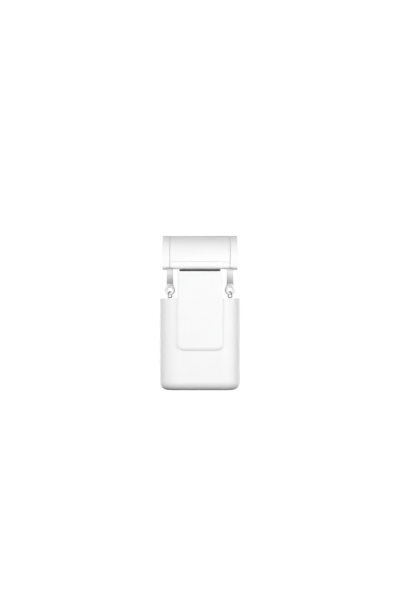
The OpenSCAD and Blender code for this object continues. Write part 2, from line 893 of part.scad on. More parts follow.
module gear_cover() {
    color(charcoal) difference() {
        union() {
            along_y(gear_cover_y0, gear_cover_y1) {
                translate([0, compound_z]) circle(large_tip_r + cover_over);
                translate([-post_top_x, post_top_z - post_r]) square([2 * post_top_x, 2 * post_r]);
                translate([-post_low_x, post_low_z - post_r])
                    square([2 * post_low_x, pinion_z + pinion_tip_r - post_low_z]);
            }
            gear_screw_places() bar_y(0, 0, post_r, cheek_y1, gear_cover_y1);
        }
        bar_y(0, compound_z, pin_d / 2 + seat_fit, gear_cover_y0 - 1, gear_cover_y1 + 1);
        gear_screw_places() bar_y(0, 0, screw_d / 2 + seat_fit, cheek_y1 - 1, gear_cover_y1 + 1);
    }
}

module gear_screws() {
    color(steel) gear_screw_places() translate([0, gear_cover_y1, 0]) rotate([-90, 0, 0])
        screw(gear_cover_y1 - cheek_y0);
}

module compound_pin() {
    color(steel) bar_y(0, compound_z, pin_d / 2, cheek_y0, gear_cover_y1);
}

module motor_can() {
    color(steel) union() {
        bar_y(0, pinion_z, motor_d / 2, can_y0 + can_nose, can_y1);
        bar_y(0, pinion_z, can_nose_r, can_y0, can_y1);
    }
}

module motor_gearbox() {
    color(charcoal) difference() {
        union() {
            bar_y(0, pinion_z, motor_d / 2, can_y1, cheek_y0);
            bar_y(0, pinion_z, motor_boss_r, cheek_y0 - eps, cheek_y1);
        }
        bar_y(0, pinion_z, shaft_d / 2 + run_fit, cheek_y0 - shaft_depth - shaft_end_gap, cheek_y1 + 1);
        for (side = sides) {
            bar_y(
                side * motor_screw_x, pinion_z, screw_d / 2 + seat_fit, cheek_y0 - motor_thread, cheek_y0 + 1
            );
        }
    }
}

module motor_screws() {
    color(steel) for (side = sides) {
        translate([side * motor_screw_x, cheek_y1, pinion_z]) rotate([-90, 0, 0])
            screw(plate_t + motor_thread - motor_tip_room);
    }
}

module battery(side) {
    color("steelblue") union() {
        bar_z(side * cell_x, cell_y, cell_r, cell_bot, cell_top);
        bar_z(side * cell_x, cell_y, nub_r, cell_top - eps, cell_top + nub_h);
    }
}

module battery_cradle() {
    sleeve_r = cell_r + trim_gap;
    web_y = cell_y - sleeve_r;
    color(charcoal) difference() {
        union() {
            for (side = sides) {
                on_side(side) difference() {
                    bar_z(cell_x, cell_y, sleeve_r + cradle_wall, floor_z, cell_bot + cradle_h);
                    bar_z(cell_x, cell_y, sleeve_r, cell_bot, cell_bot + cradle_h + 1);
                    block(cell_x + sleeve_open, far, -far, far, base_z, rim_z);
                }
            }
            block(-cell_x + web_inset, cell_x - web_inset, web_y - cradle_wall, web_y, floor_z, rail_top);
        }
        bar_z(-button_x, port_y, button_d / 2 + button_lip + button_gap, floor_z - 1, plunger_bot);
    }
}

module battery_tabs() {
    color(grey) for (side = sides) {
        on_side(side) block(
            cell_x - tab_w / 2, cell_x + tab_w / 2, cell_y - tab_d / 2, cell_y + tab_d / 2,
            cell_top + nub_h, cell_top + nub_h + tab_t
        );
    }
}

module circuit_board() {
    color("seagreen") block(-board_w / 2, board_w / 2, board_y, board_y + board_t, board_bot, board_top);
}

module board_chips() {
    color("darkslategray") {
        for (chip = chips) {
            block(
                chip[0] - chip[2] / 2, chip[0] + chip[2] / 2, board_y - chip[4], board_y,
                board_top - chip[1] - chip[3] / 2, board_top - chip[1] + chip[3] / 2
            );
        }
        block(
            button_x - lamp_w / 2, button_x + lamp_w / 2, port_y - lamp_w / 2, board_y, lamp_z, lamp_z + lamp_h
        );
    }
}

module usb_port() {
    color(grey) translate([0, port_y, base_z + port_inset]) {
        difference() {
            linear_extrude(port_len) stadium(port_w, port_t);
            translate([0, 0, -port_back]) linear_extrude(port_len)
                stadium(port_w - 2 * port_wall, port_t - 2 * port_wall);
        }
        block(
            -port_tongue_w / 2, port_tongue_w / 2, -port_tongue_t / 2, port_tongue_t / 2,
            port_tongue_in, port_len - port_back + eps
        );
    }
}

module button_switch() {
    color("darkslategray") union() {
        block(
            -button_x - switch_w / 2, -button_x + switch_w / 2, board_y - switch_t, board_y,
            switch_z, switch_z + switch_h
        );
        bar_z(-button_x, port_y, plunger_r, plunger_bot, switch_z + eps);
    }
}

module light_pipe() {
    color("azure") bar_z(button_x, port_y, pipe_d / 2, base_z + pipe_inset, lamp_z);
}

function spring_path(x) =
    let (r = (spring_d - spring_wire_d) / 2)
    let (lead = 2 * spring_wire_d)
    let (steps = spring_curls * 8)
    let (rise = (spring_len - 2 * lead) / steps)
    let (curl = [
        for (i = [0 : steps])
            [x + r * cos(45 * i), spring_y + r * sin(45 * i), ledge_z + lead + rise * i]
    ])
    concat(
        [[x + r, spring_y, ledge_z], [x + r, spring_y, ledge_z + spring_wire_d]], curl,
        [[x + r, spring_y, stop_bot - spring_wire_d], [x + r, spring_y, stop_bot]]
    );

module clamp_spring(side) {
    x = side * spring_x;
    path = spring_path(x);
    asides = [for (p = path) [p[0] - x, p[1] - spring_y, 0]];
    echo(spring_gap = (spring_len - 4 * spring_wire_d) / spring_curls - spring_wire_d);
    color(steel) tube(path, asides, spring_wire_d / 2, 6, false);
}

// The hook's outline in Y and Z: a round top, a front skirt with a rounded edge and a rear lip
module hook_outline(r, front_z, rear_z, edge_r) {
    intersection() {
        translate([0, hook_rise]) circle(r);
        translate([-r, hook_rise]) square([2 * r, r]);
    }
    translate([-r, front_z + edge_r]) square([r, hook_rise - front_z - edge_r]);
    translate([-r + edge_r, front_z]) square([r - edge_r, hook_rise - front_z]);
    translate([-r + edge_r, front_z + edge_r]) circle(edge_r);
    translate([0, rear_z]) square([r, hook_rise - rear_z]);
}

module hook_body() {
    hook_outline(hook_r, hook_foot, rear_lip, skirt_r);
}

// The way of the rod through the hook, open downwards
module rod_way(r) {
    circle(r, $fn = 180);
    translate([-r, -far]) square([2 * r, far]);
}

module hanger_notches() {
    for (side = sides) {
        bar_y(side * seam_x, notch_z, notch_r, -hook_r - 1, riser_y1);
    }
}

module saddle_cover() {
    color(white) difference() {
        along_x(-cover_x, cover_x) difference() {
            hook_body();
            intersection() {
                translate([0, hook_rise]) circle(hook_in_r);
                translate([-far, hook_rise]) square(2 * far);
            }
            translate([skirt_in_y, -far]) square([hook_in_r - skirt_in_y, far + hook_rise]);
        }
        hanger_notches();
        block(
            -hook_w / 2, hook_w / 2, -hook_r - 1, -hook_r + crease_d,
            crease_z - crease_w / 2, crease_z + crease_w / 2
        );
    }
}

module cap_screw_places() {
    for (y = sides) {
        translate([0, y * cap_screw_y, cap_screw_z]) children();
    }
}

module end_cap(side) {
    wall_x = cap_x1 - hook_wall;
    color(white) on_side(side) difference() {
        union() {
            along_x(cap_x0, cap_x1) difference() {
                hook_body();
                rod_way(guide_r);
            }
        }
        difference() {
            along_x(cap_x0 - 1, wall_x) difference() {
                hook_outline(hook_in_r, hook_foot + hook_wall, rear_lip + hook_wall, skirt_r - hook_wall);
                rod_way(guide_r + hook_wall);
            }
            cap_screw_places() bar_x(0, 0, cap_boss_r, cap_x0, cap_x1);
        }
        hanger_notches();
        block(
            cap_x0 - 1, seam_x + hanger_w / 2 + cap_room_x, skirt_in_y, -(guide_r + hook_wall),
            hook_foot - 1, hook_foot + cap_room_z
        );
        cap_screw_places() {
            bar_x(0, 0, screw_d / 2 + seat_fit, cap_x0 - 1, cap_x1 + 1);
            bar_x(0, 0, cap_head_d / 2 + trim_gap, cap_x1 - cap_head_depth, cap_x1 + 1);
        }
        bar_x(pivot_y, pivot_z, hanger_pin_d / 2 + seat_fit, cap_x0, wall_x + pin_end + pin_end_gap);
    }
}

module cap_screws() {
    x = cap_x1 - cap_head_depth;
    color(steel) for (side = sides) {
        on_side(side) cap_screw_places() {
            bar_x(0, 0, cap_head_d / 2, x, cap_x1 - cap_head_sunk);
            bar_x(0, 0, screw_d / 2, x - cap_screw_len, x + eps);
        }
    }
}

module idler_axle(side) {
    color(steel) bar_y(side * idler_x, idler_z, idler_axle_d / 2, -idler_axle_len / 2, idler_axle_len / 2);
}

module hanger_pin(side) {
    color(steel) on_side(side)
        bar_x(pivot_y, pivot_z, hanger_pin_d / 2, ear_x1 - pin_seat, cap_x1 - hook_wall + pin_end);
}

// The arch over the rod, in Y and Z
module arch_outline() {
    difference() {
        union() {
            intersection() {
                translate([0, hook_rise]) circle(arch_r);
                translate([-arch_r, hook_rise]) square([2 * arch_r, arch_r]);
            }
            translate([riser_y0, arch_foot]) square([arch_r - riser_y0, hook_rise - arch_foot]);
        }
        rod_way(guide_r + arch_room);
    }
}

module clamp_arm() {
    pocket_x = idler_r + idler_rim + pocket_side;
    pocket_y = idler_w / 2 + pocket_end;
    axle_hole = idler_axle_len / 2 + pin_end_gap;
    color(charcoal) difference() {
        union() {
            along_x(-cover_x, cover_x) arch_outline();
            block(-slide_w / 2, slide_w / 2, riser_y0, riser_y1, step_bot, arch_foot + 2);
            block(-slide_w / 2, slide_w / 2, panel_back_y, riser_y1, step_bot, step_top);
            block(-slide_w / 2, slide_w / 2, panel_back_y, slide_back_y, -slide_drop, step_top);
            block(
                -slide_w / 2 - tongue_w, slide_w / 2 + tongue_w, tongue_y0, tongue_y1, -slide_drop, rim_z - 1
            );
            for (side = sides) {
                on_side(side) block(
                    ear_x1 - ear_t, ear_x1, pivot_y - knuckle_r, pivot_y + knuckle_r,
                    pivot_z - knuckle_r, arch_foot + 1
                );
            }
        }
        for (side = sides) {
            on_side(side) {
                block(idler_x - pocket_x, idler_x + pocket_x, -pocket_y, pocket_y, 0, far);
                bar_y(idler_x, idler_z, idler_axle_d / 2 + seat_fit, -axle_hole, axle_hole);
                cap_screw_places() bar_x(0, 0, screw_d / 2 + seat_fit, cover_x - cap_screw_len, cover_x + 1);
                bar_x(
                    pivot_y, pivot_z, hanger_pin_d / 2 + seat_fit, ear_x1 - pin_seat - pin_end_gap, ear_x1 + 1
                );
                block(
                    spring_x - window_w / 2, spring_x + window_w / 2, panel_back_y - 1, slide_back_y + 1,
                    ledge_z, window_top
                );
            }
        }
        block(-idler_x + pocket_x + rib_t, idler_x - pocket_x - rib_t, -pocket_y, pocket_y, 0, far);
    }
}

// Corners of the panel at one depth, drawn in from the edge by inset
module panel_corners(inset, y0, y1) {
    x = panel_w / 2;
    for (side = sides) {
        bar_y(
            side * (x - panel_corner_r), panel_bot + panel_corner_r, panel_corner_r - inset, y0, y1,
            $fn = 32
        );
        bar_y(
            side * (x - inset - panel_top_r / 2), panel_top - inset - panel_top_r / 2, panel_top_r / 2, y0, y1,
            $fn = 32
        );
    }
}

module front_panel() {
    color(white) hull() {
        panel_corners(0, panel_back_y - panel_t + panel_bevel_h, panel_back_y);
        panel_corners(panel_bevel, panel_back_y - panel_t, panel_back_y - panel_t + panel_bevel_h);
    }
}

module wheel_hub() {
    color(white) translate([0, 0, wheel_z]) rotate([-90, 0, 0]) rotate_extrude() {
        translate([axle_d / 2 + seat_fit, -hub_w / 2]) square([hub_core_r - axle_d / 2, hub_w]);
        translate([axle_d / 2 + seat_fit, -hub_web / 2]) square([hub_r - axle_d / 2 - seat_fit, hub_web]);
        translate([hub_r - hub_rim_t, -tyre_w / 2]) square([hub_rim_t, tyre_w]);
    }
}

module wheel_tyre() {
    color("darkslategray") roller(wheel_r, tyre_rim, tyre_w, hub_r + seat_fit, wheel_z);
}

module wheel_axle() {
    color(steel) bar_y(0, wheel_z, axle_d / 2, -cheek_y1 - axle_stub, gear_a_y1 + axle_stub / 2);
}

module wheel_gear() {
    color("ivory") difference() {
        gear(wheel_teeth, -90, 0, wheel_z, gear_a_y0, gear_a_y1);
        bar_y(0, wheel_z, axle_d / 2 + seat_fit, gear_a_y0 - 1, gear_a_y1 + 1);
    }
}

module compound_gear() {
    color("ivory") difference() {
        union() {
            gear(small_teeth, 90 + 180 / small_teeth, 0, compound_z, gear_a_y0, gear_b_y0 + eps);
            gear(large_teeth, -90, 0, compound_z, gear_b_y0, gear_b_y1);
        }
        bar_y(0, compound_z, pin_d / 2 + run_fit, gear_a_y0 - 1, gear_b_y1 + 1);
    }
}

module motor_pinion() {
    color("goldenrod") union() {
        gear(
            pinion_teeth, 90 + 180 / pinion_teeth, 0, pinion_z, gear_b_y0 - pinion_over, gear_b_y1 + pinion_over
        );
        bar_y(0, pinion_z, shaft_d / 2 + collar_wall, gear_a_y0 + gear_gap, gear_b_y0);
        bar_y(0, pinion_z, shaft_d / 2, cheek_y0 - shaft_depth, gear_b_y0);
    }
}

module idler_roller(side) {
    color(charcoal) translate([side * idler_x, 0, 0])
        roller(idler_r, idler_rim, idler_w, idler_axle_d / 2 + run_fit, idler_z);
}

// The hanger's outline in Y and Z: a strap, a ramp, and a foot whose front curves back
module hanger_outline() {
    ramp_z = -hanger_len + hanger_end_h;
    translate([pivot_y, pivot_z]) {
        polygon([
            [-hanger_t / 2, 0], [-hanger_t / 2, ramp_z + hanger_ramp], [-hanger_front, ramp_z],
            [hanger_back, ramp_z], [hanger_t / 2, ramp_z + hanger_ramp], [hanger_t / 2, 0]
        ]);
        intersection() {
            translate([-hanger_front, -hanger_len]) square([hanger_front + hanger_back, hanger_end_h]);
            translate([hanger_curve_r - hanger_front, ramp_z]) circle(hanger_curve_r, $fn = 180);
        }
    }
}

module hanger(side) {
    x0 = seam_x - hanger_w / 2;
    x1 = seam_x + hanger_w / 2;
    color(grey) on_side(side) difference() {
        union() {
            bar_x(pivot_y, pivot_z, knuckle_r, x0, x1);
            along_x(x0, x1) hanger_outline();
        }
        bar_x(pivot_y, pivot_z, hanger_pin_d / 2 + run_fit, seam_x - hanger_w, seam_x + hanger_w);
        block(
            seam_x - hanger_window_w / 2, seam_x + hanger_window_w / 2,
            pivot_y - stem_d / 2 - stem_head_lip - stem_head_gap, pivot_y + hanger_back + 1,
            hanger_bot + hanger_floor, hanger_bot + hanger_floor + hanger_window_h
        );
        bar_z(seam_x, pivot_y, stem_d / 2 + run_fit, hanger_bot - 1, hanger_bot + hanger_floor + 1);
    }
}

// The eyelet about its own stem, with the stem's axis at x = y = 0
module eyelet_body() {
    shoulder_top = hanger_bot - eye_gap;
    head_z = hanger_bot + hanger_floor + stem_head_gap;
    bar_z(0, 0, stem_d / 2, shoulder_top - shoulder_t, head_z + stem_head_h);
    bar_z(0, 0, stem_d / 2 + stem_head_lip, head_z, head_z + stem_head_h);
    bar_z(0, 0, shoulder_r, shoulder_top - shoulder_t, shoulder_top);
    translate([0, 0, eye_z]) rotate([90, 0, 0]) rotate_extrude() translate([eye_r, 0]) circle(d = eye_bar_d);
}

module eyelet(side, turn) {
    color(white) translate([side * seam_x, pivot_y, 0]) rotate(turn) eyelet_body();
}

// The wire link's path in Y and Z about the eyelet's lower bar: a round top, splayed legs and a straight foot
function arc(y, z, r, from, to, steps) =
    [for (i = [0 : steps]) let (a = from + (to - from) * i / steps) [0, y + r * cos(a), z + r * sin(a)]];
function link_path() =
    let (foot_y = wire_foot_x - link_corner_r)
    let (foot_z = -link_drop + link_corner_r)
    let (reach = norm([foot_y, foot_z]))
    let (lean = atan2(foot_z, foot_y) + acos((link_r - link_corner_r) / reach))
    concat(
        arc(0, 0, link_r, lean, 180 - lean, 12),
        arc(-foot_y, foot_z, link_corner_r, 180 - lean, 270, 4),
        arc(foot_y, foot_z, link_corner_r, -90, lean, 4)
    );

module wire_link(side, turn) {
    path = link_path();
    asides = [for (p = path) [1, 0, 0]];
    color(steel) translate([side * seam_x, pivot_y, link_z]) rotate(turn + side * link_turn)
        tube(path, asides, wire_d / 2, 8, true);
}

module function_button() {
    color(white) union() {
        bar_z(-button_x, port_y, button_d / 2, base_z + button_inset, floor_z + button_gap + eps);
        bar_z(
            -button_x, port_y, button_d / 2 + button_lip, floor_z + button_gap, floor_z + button_gap + button_lip
        );
        bar_z(
            -button_x, port_y, peg_r, floor_z + button_gap + button_lip - eps,
            plunger_bot - button_travel - plunger_gap
        );
    }
}

case_shell();
top_cover();
cover_screws();
drive_frame();
frame_screws();
bearing_front();
bearing_rear();
gear_cover();
gear_screws();
compound_pin();
motor_can();
motor_gearbox();
motor_screws();
battery(left);  // battery_left
battery(right);  // battery_right
battery_cradle();
battery_tabs();
circuit_board();
board_chips();
usb_port();
button_switch();
light_pipe();
clamp_spring(left);  // clamp_spring_left
clamp_spring(right);  // clamp_spring_right
clamp_arm();
front_panel();
saddle_cover();
end_cap(left);  // end_cap_left
end_cap(right);  // end_cap_right
cap_screws();
idler_axle(left);  // idler_axle_left
idler_axle(right);  // idler_axle_right
hanger_pin(left);  // hanger_pin_left
hanger_pin(right);  // hanger_pin_right
wheel_hub();
wheel_tyre();
wheel_axle();
wheel_gear();
compound_gear();
motor_pinion();
idler_roller(left);  // idler_roller_left
idler_roller(right);  // idler_roller_right
hanger(left);  // hanger_left
hanger(right);  // hanger_right
eyelet(left, left_eye_turn);  // eyelet_left
eyelet(right, right_eye_turn);  // eyelet_right
wire_link(left, left_eye_turn);  // wire_link_left
wire_link(right, right_eye_turn);  // wire_link_right
function_button();
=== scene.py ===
"""Dresses the curtain robot: finishes, softened mouldings, springs, tyre, screws, and its studio."""

from __future__ import annotations

import json
import logging
import math
from collections.abc import Callable, Sequence
from dataclasses import dataclass, replace
from enum import Enum

import bmesh
import bpy
from mathutils import Matrix, Vector
from mathutils.geometry import delaunay_2d_cdt

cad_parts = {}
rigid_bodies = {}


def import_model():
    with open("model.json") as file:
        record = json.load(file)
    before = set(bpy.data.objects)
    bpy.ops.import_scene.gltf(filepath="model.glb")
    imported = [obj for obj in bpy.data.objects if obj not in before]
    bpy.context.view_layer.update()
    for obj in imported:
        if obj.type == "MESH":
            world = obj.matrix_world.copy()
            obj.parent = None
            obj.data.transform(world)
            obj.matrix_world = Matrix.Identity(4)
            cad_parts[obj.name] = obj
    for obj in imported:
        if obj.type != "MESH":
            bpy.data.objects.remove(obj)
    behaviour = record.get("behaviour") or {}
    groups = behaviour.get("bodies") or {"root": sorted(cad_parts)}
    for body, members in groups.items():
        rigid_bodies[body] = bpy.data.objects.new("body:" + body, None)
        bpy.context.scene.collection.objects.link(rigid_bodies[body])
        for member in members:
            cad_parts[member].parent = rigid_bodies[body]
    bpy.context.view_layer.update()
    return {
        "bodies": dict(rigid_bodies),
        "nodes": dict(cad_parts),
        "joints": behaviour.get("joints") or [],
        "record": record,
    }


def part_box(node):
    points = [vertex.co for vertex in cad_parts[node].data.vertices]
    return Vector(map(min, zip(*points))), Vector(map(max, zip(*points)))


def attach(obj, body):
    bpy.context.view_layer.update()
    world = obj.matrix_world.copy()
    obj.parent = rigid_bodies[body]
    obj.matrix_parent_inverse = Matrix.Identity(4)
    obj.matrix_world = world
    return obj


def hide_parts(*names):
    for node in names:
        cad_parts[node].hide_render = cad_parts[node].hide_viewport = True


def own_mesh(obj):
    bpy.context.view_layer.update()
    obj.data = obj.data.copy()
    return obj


LOG = logging.getLogger("curtain_robot")
MM = 0.001
MERGE = 1e-6
FLAT_ANGLE = math.radians(0.4)
SLIVER = 1e-6
SHARP_ANGLE = math.radians(40)
EDGE_ANGLE = math.radians(35)
QUARTER_TURN = math.pi / 2
PURE_WHITE = (1.0, 1.0, 1.0, 1.0)
QUAD = 4
FILL_TOLERANCE = 1e-6
PLACE_DIGITS = 5

Colour = tuple[float, float, float]
Corner = tuple[float, float, float]
Point2 = tuple[float, float]
Pattern = tuple[bpy.types.NodeTree, dict[str, str]]


class Side(Enum):
    """The two sides of the robot, as the sign of X."""

    LEFT = -1
    RIGHT = 1

    @property
    def word(self) -> str:
        """The side's name as it stands in node names."""
        return self.name.lower()


class Axis(Enum):
    """The frame's axes, as the index of a coordinate."""

    X = 0
    Y = 1
    Z = 2

    def place(self, along: float, across: float, up: float) -> Vector:
        """Turns a height along the axis and two distances square to it into a point.

        Args:
            along: Distance along the axis.
            across: Distance along the first of the other two axes.
            up: Distance along the second of the other two axes.

        Returns:
            The point.
        """
        rest = [across, up]
        rest.insert(self.value, along)
        return Vector(rest)

    def unit(self) -> Vector:
        """The axis as a vector of length one."""
        return self.place(1.0, 0.0, 0.0)


class Surface(Enum):
    """How a finish varies over a surface."""

    MOULDED = "moulded"
    RUBBER = "rubber"
    DRAWN = "drawn"
    SINTERED = "sintered"
    BOARD = "board"
    CLEAR = "clear"


class Socket(Enum):
    """The kinds of named sockets, as their type names."""

    VECTOR = "NodeSocketVector"
    COLOUR = "NodeSocketColor"
    NUMBER = "NodeSocketFloat"
    COUNT = "NodeSocketInt"
    SHAPE = "NodeSocketGeometry"
    MATERIAL = "NodeSocketMaterial"
    OBJECT = "NodeSocketObject"


class Tree:
    """A node tree that is being wired up."""

    def __init__(self, tree: bpy.types.NodeTree) -> None:
        """Keeps the tree."""
        self.tree = tree

    def add(self, kind: str, **settings: object) -> bpy.types.Node:
        """Adds a node.

        Args:
            kind: The node's type name.
            **settings: Attributes of the node, set as given.

        Returns:
            The new node.
        """
        node = self.tree.nodes.new(kind)
        for name, value in settings.items():
            setattr(node, name, value)
        return node

    def join(self, start: bpy.types.NodeSocket, end: bpy.types.NodeSocket) -> None:
        """Links two sockets."""
        self.tree.links.new(start, end)

    @staticmethod
    def fill(node: bpy.types.Node, values: dict[str, object]) -> None:
        """Sets a node's inputs to plain values.

        Args:
            node: The node.
            values: The value of each input, by the input's name.
        """
        for name, value in values.items():
            node.inputs[name].default_value = value

    def socket(self, name: str, kind: Socket, output: bool = False) -> str:
        """Adds a named socket to the tree's interface.

        Args:
            name: The socket's name.
            kind: The socket's kind.
            output: True for an output.

        Returns:
            The socket's identifier.
        """
        way = "OUTPUT" if output else "INPUT"
        return self.tree.interface.new_socket(name=name, in_out=way, socket_type=kind.value).identifier

    def ends(self, inputs: dict[str, Socket], outputs: dict[str, Socket]) -> tuple[bpy.types.Node, ...]:
        """Gives the tree its named sockets and its two end nodes.

        Args:
            inputs: The kind of each input, by the input's name.
            outputs: The kind of each output, by the output's name.

        Returns:
            The node of the inputs, then the node of the outputs.
        """
        for name, kind in inputs.items():
            self.socket(name, kind)
        for name, kind in outputs.items():
            self.socket(name, kind, output=True)
        return self.add("NodeGroupInput"), self.add("NodeGroupOutput")

    def math(self, operation: str, *values: object) -> bpy.types.NodeSocket:
        """Adds a Math node.

        Args:
            operation: The node's operation.
            *values: Sockets to link or numbers to set, in order.

        Returns:
            The node's output.
        """
        node = self.add("ShaderNodeMath", operation=operation)
        for place, value in enumerate(values):
            if isinstance(value, bpy.types.NodeSocket):
                self.join(value, node.inputs[place])
            else:
                node.inputs[place].default_value = value
        return node.outputs[0]


class Effects:
    """Shader node groups that more than one finish uses, each built once."""

    made: dict[str, bpy.types.NodeTree] = {}
    noise_middle = 0.5
    broad_detail = 3.0
    fine_detail = 5.0
    fine_scale = 7.0
    cell_smoothness = 0.6
    haze_detail = 4.0
    haze_scale = 0.45
    haze_share = 0.7
    streak_detail = 6.0
    streak_stretch = (1.0, 0.02, 0.02)

    @classmethod
    def get(cls, name: str) -> bpy.types.NodeTree:
        """Gives a group, building it at its first use.

        Args:
            name: One of drift, grain, lines and pores.

        Returns:
            The group.
        """
        if name not in cls.made:
            group = bpy.data.node_groups.new(name, "ShaderNodeTree")
            builders: dict[str, Callable[[Tree], None]] = {
                "drift": cls._drift, "grain": cls._grain, "lines": cls._lines, "pores": cls._pores,
            }
            builders[name](Tree(group))
            cls.made[name] = group
        return cls.made[name]

    @staticmethod
    def _noise(tree: Tree, place: bpy.types.NodeSocket, scale: bpy.types.NodeSocket,
               detail: float) -> bpy.types.NodeSocket:
        """Adds a noise texture.

        Args:
            tree: The group.
            place: The coordinates that it reads.
            scale: Its scale.
            detail: How many finer layers it has.

        Returns:
            The noise.
        """
        node = tree.add("ShaderNodeTexNoise", noise_dimensions="3D")
        node.inputs["Detail"].default_value = detail
        tree.join(place, node.inputs["Vector"])
        tree.join(scale, node.inputs["Scale"])
        return node.outputs["Fac"]

    @classmethod
    def _drift(cls, tree: Tree) -> None:
        """Lets a colour and a roughness wander slowly over the surface.

        Args:
            tree: The empty group.
        """
        start, end = tree.ends(
            {"Vector": Socket.VECTOR, "Colour": Socket.COLOUR, "Roughness": Socket.NUMBER,
             "Tone Spread": Socket.NUMBER, "Roughness Spread": Socket.NUMBER, "Scale": Socket.NUMBER},
            {"Colour": Socket.COLOUR, "Roughness": Socket.NUMBER},
        )
        place = start.outputs["Vector"]
        broad = cls._noise(tree, place, start.outputs["Scale"], cls.broad_detail)
        fine_scale = tree.math("MULTIPLY", start.outputs["Scale"], cls.fine_scale)
        fine = cls._noise(tree, place, fine_scale, cls.fine_detail)
        swing = tree.math("SUBTRACT", broad, cls.noise_middle)
        level = tree.math("MULTIPLY_ADD", swing, start.outputs["Tone Spread"], 1.0)
        shade = tree.add("ShaderNodeHueSaturation")
        tree.join(start.outputs["Colour"], shade.inputs["Color"])
        tree.join(level, shade.inputs["Value"])
        tree.join(shade.outputs["Color"], end.inputs["Colour"])
        rub = tree.math("SUBTRACT", fine, cls.noise_middle)
        spread = start.outputs["Roughness Spread"]
        rough = tree.math("MULTIPLY_ADD", rub, spread, start.outputs["Roughness"])
        tree.join(rough, end.inputs["Roughness"])

    @classmethod
    def _grain(cls, tree: Tree) -> None:
        """Gives the height of a fine eroded mould texture.

        Args:
            tree: The empty group.
        """
        start, end = tree.ends({"Vector": Socket.VECTOR, "Scale": Socket.NUMBER}, {"Height": Socket.NUMBER})
        cells = tree.add("ShaderNodeTexVoronoi", feature="SMOOTH_F1")
        cells.inputs["Smoothness"].default_value = cls.cell_smoothness
        tree.join(start.outputs["Vector"], cells.inputs["Vector"])
        tree.join(start.outputs["Scale"], cells.inputs["Scale"])
        haze_scale = tree.math("MULTIPLY", start.outputs["Scale"], cls.haze_scale)
        haze = cls._noise(tree, start.outputs["Vector"], haze_scale, cls.haze_detail)
        height = tree.math("MULTIPLY_ADD", haze, cls.haze_share, cells.outputs["Distance"])
        tree.join(height, end.inputs["Height"])

    @classmethod
    def _lines(cls, tree: Tree) -> None:
        """Gives the height and the gloss of fine tool lines that run across one axis.

        Args:
            tree: The empty group.
        """
        start, end = tree.ends(
            {"Vector": Socket.VECTOR, "Scale": Socket.NUMBER, "Roughness": Socket.NUMBER,
             "Spread": Socket.NUMBER},
            {"Height": Socket.NUMBER, "Roughness": Socket.NUMBER},
        )
        stretch = tree.add("ShaderNodeMapping")
        stretch.inputs["Scale"].default_value = cls.streak_stretch
        tree.join(start.outputs["Vector"], stretch.inputs["Vector"])
        streak = cls._noise(tree, stretch.outputs["Vector"], start.outputs["Scale"], cls.streak_detail)
        tree.join(streak, end.inputs["Height"])
        swing = tree.math("SUBTRACT", streak, cls.noise_middle)
        rough = tree.math("MULTIPLY_ADD", swing, start.outputs["Spread"], start.outputs["Roughness"])
        tree.join(rough, end.inputs["Roughness"])

    @staticmethod
    def _pores(tree: Tree) -> None:
        """Gives a mask of small scattered pits.

        Args:
            tree: The empty group.
        """
        inputs = {"Vector": Socket.VECTOR, "Scale": Socket.NUMBER, "Size": Socket.NUMBER}
        start, end = tree.ends(inputs, {"Mask": Socket.NUMBER})
        cells = tree.add("ShaderNodeTexVoronoi", feature="F1")
        tree.join(start.outputs["Vector"], cells.inputs["Vector"])
        tree.join(start.outputs["Scale"], cells.inputs["Scale"])
        edge = tree.add("ShaderNodeMapRange", interpolation_type="SMOOTHSTEP")
        tree.fill(edge, {"From Min": 0.0, "To Min": 1.0, "To Max": 0.0})
        tree.join(cells.outputs["Distance"], edge.inputs["Value"])
        tree.join(start.outputs["Size"], edge.inputs["From Max"])
        tree.join(edge.outputs["Result"], end.inputs["Mask"])


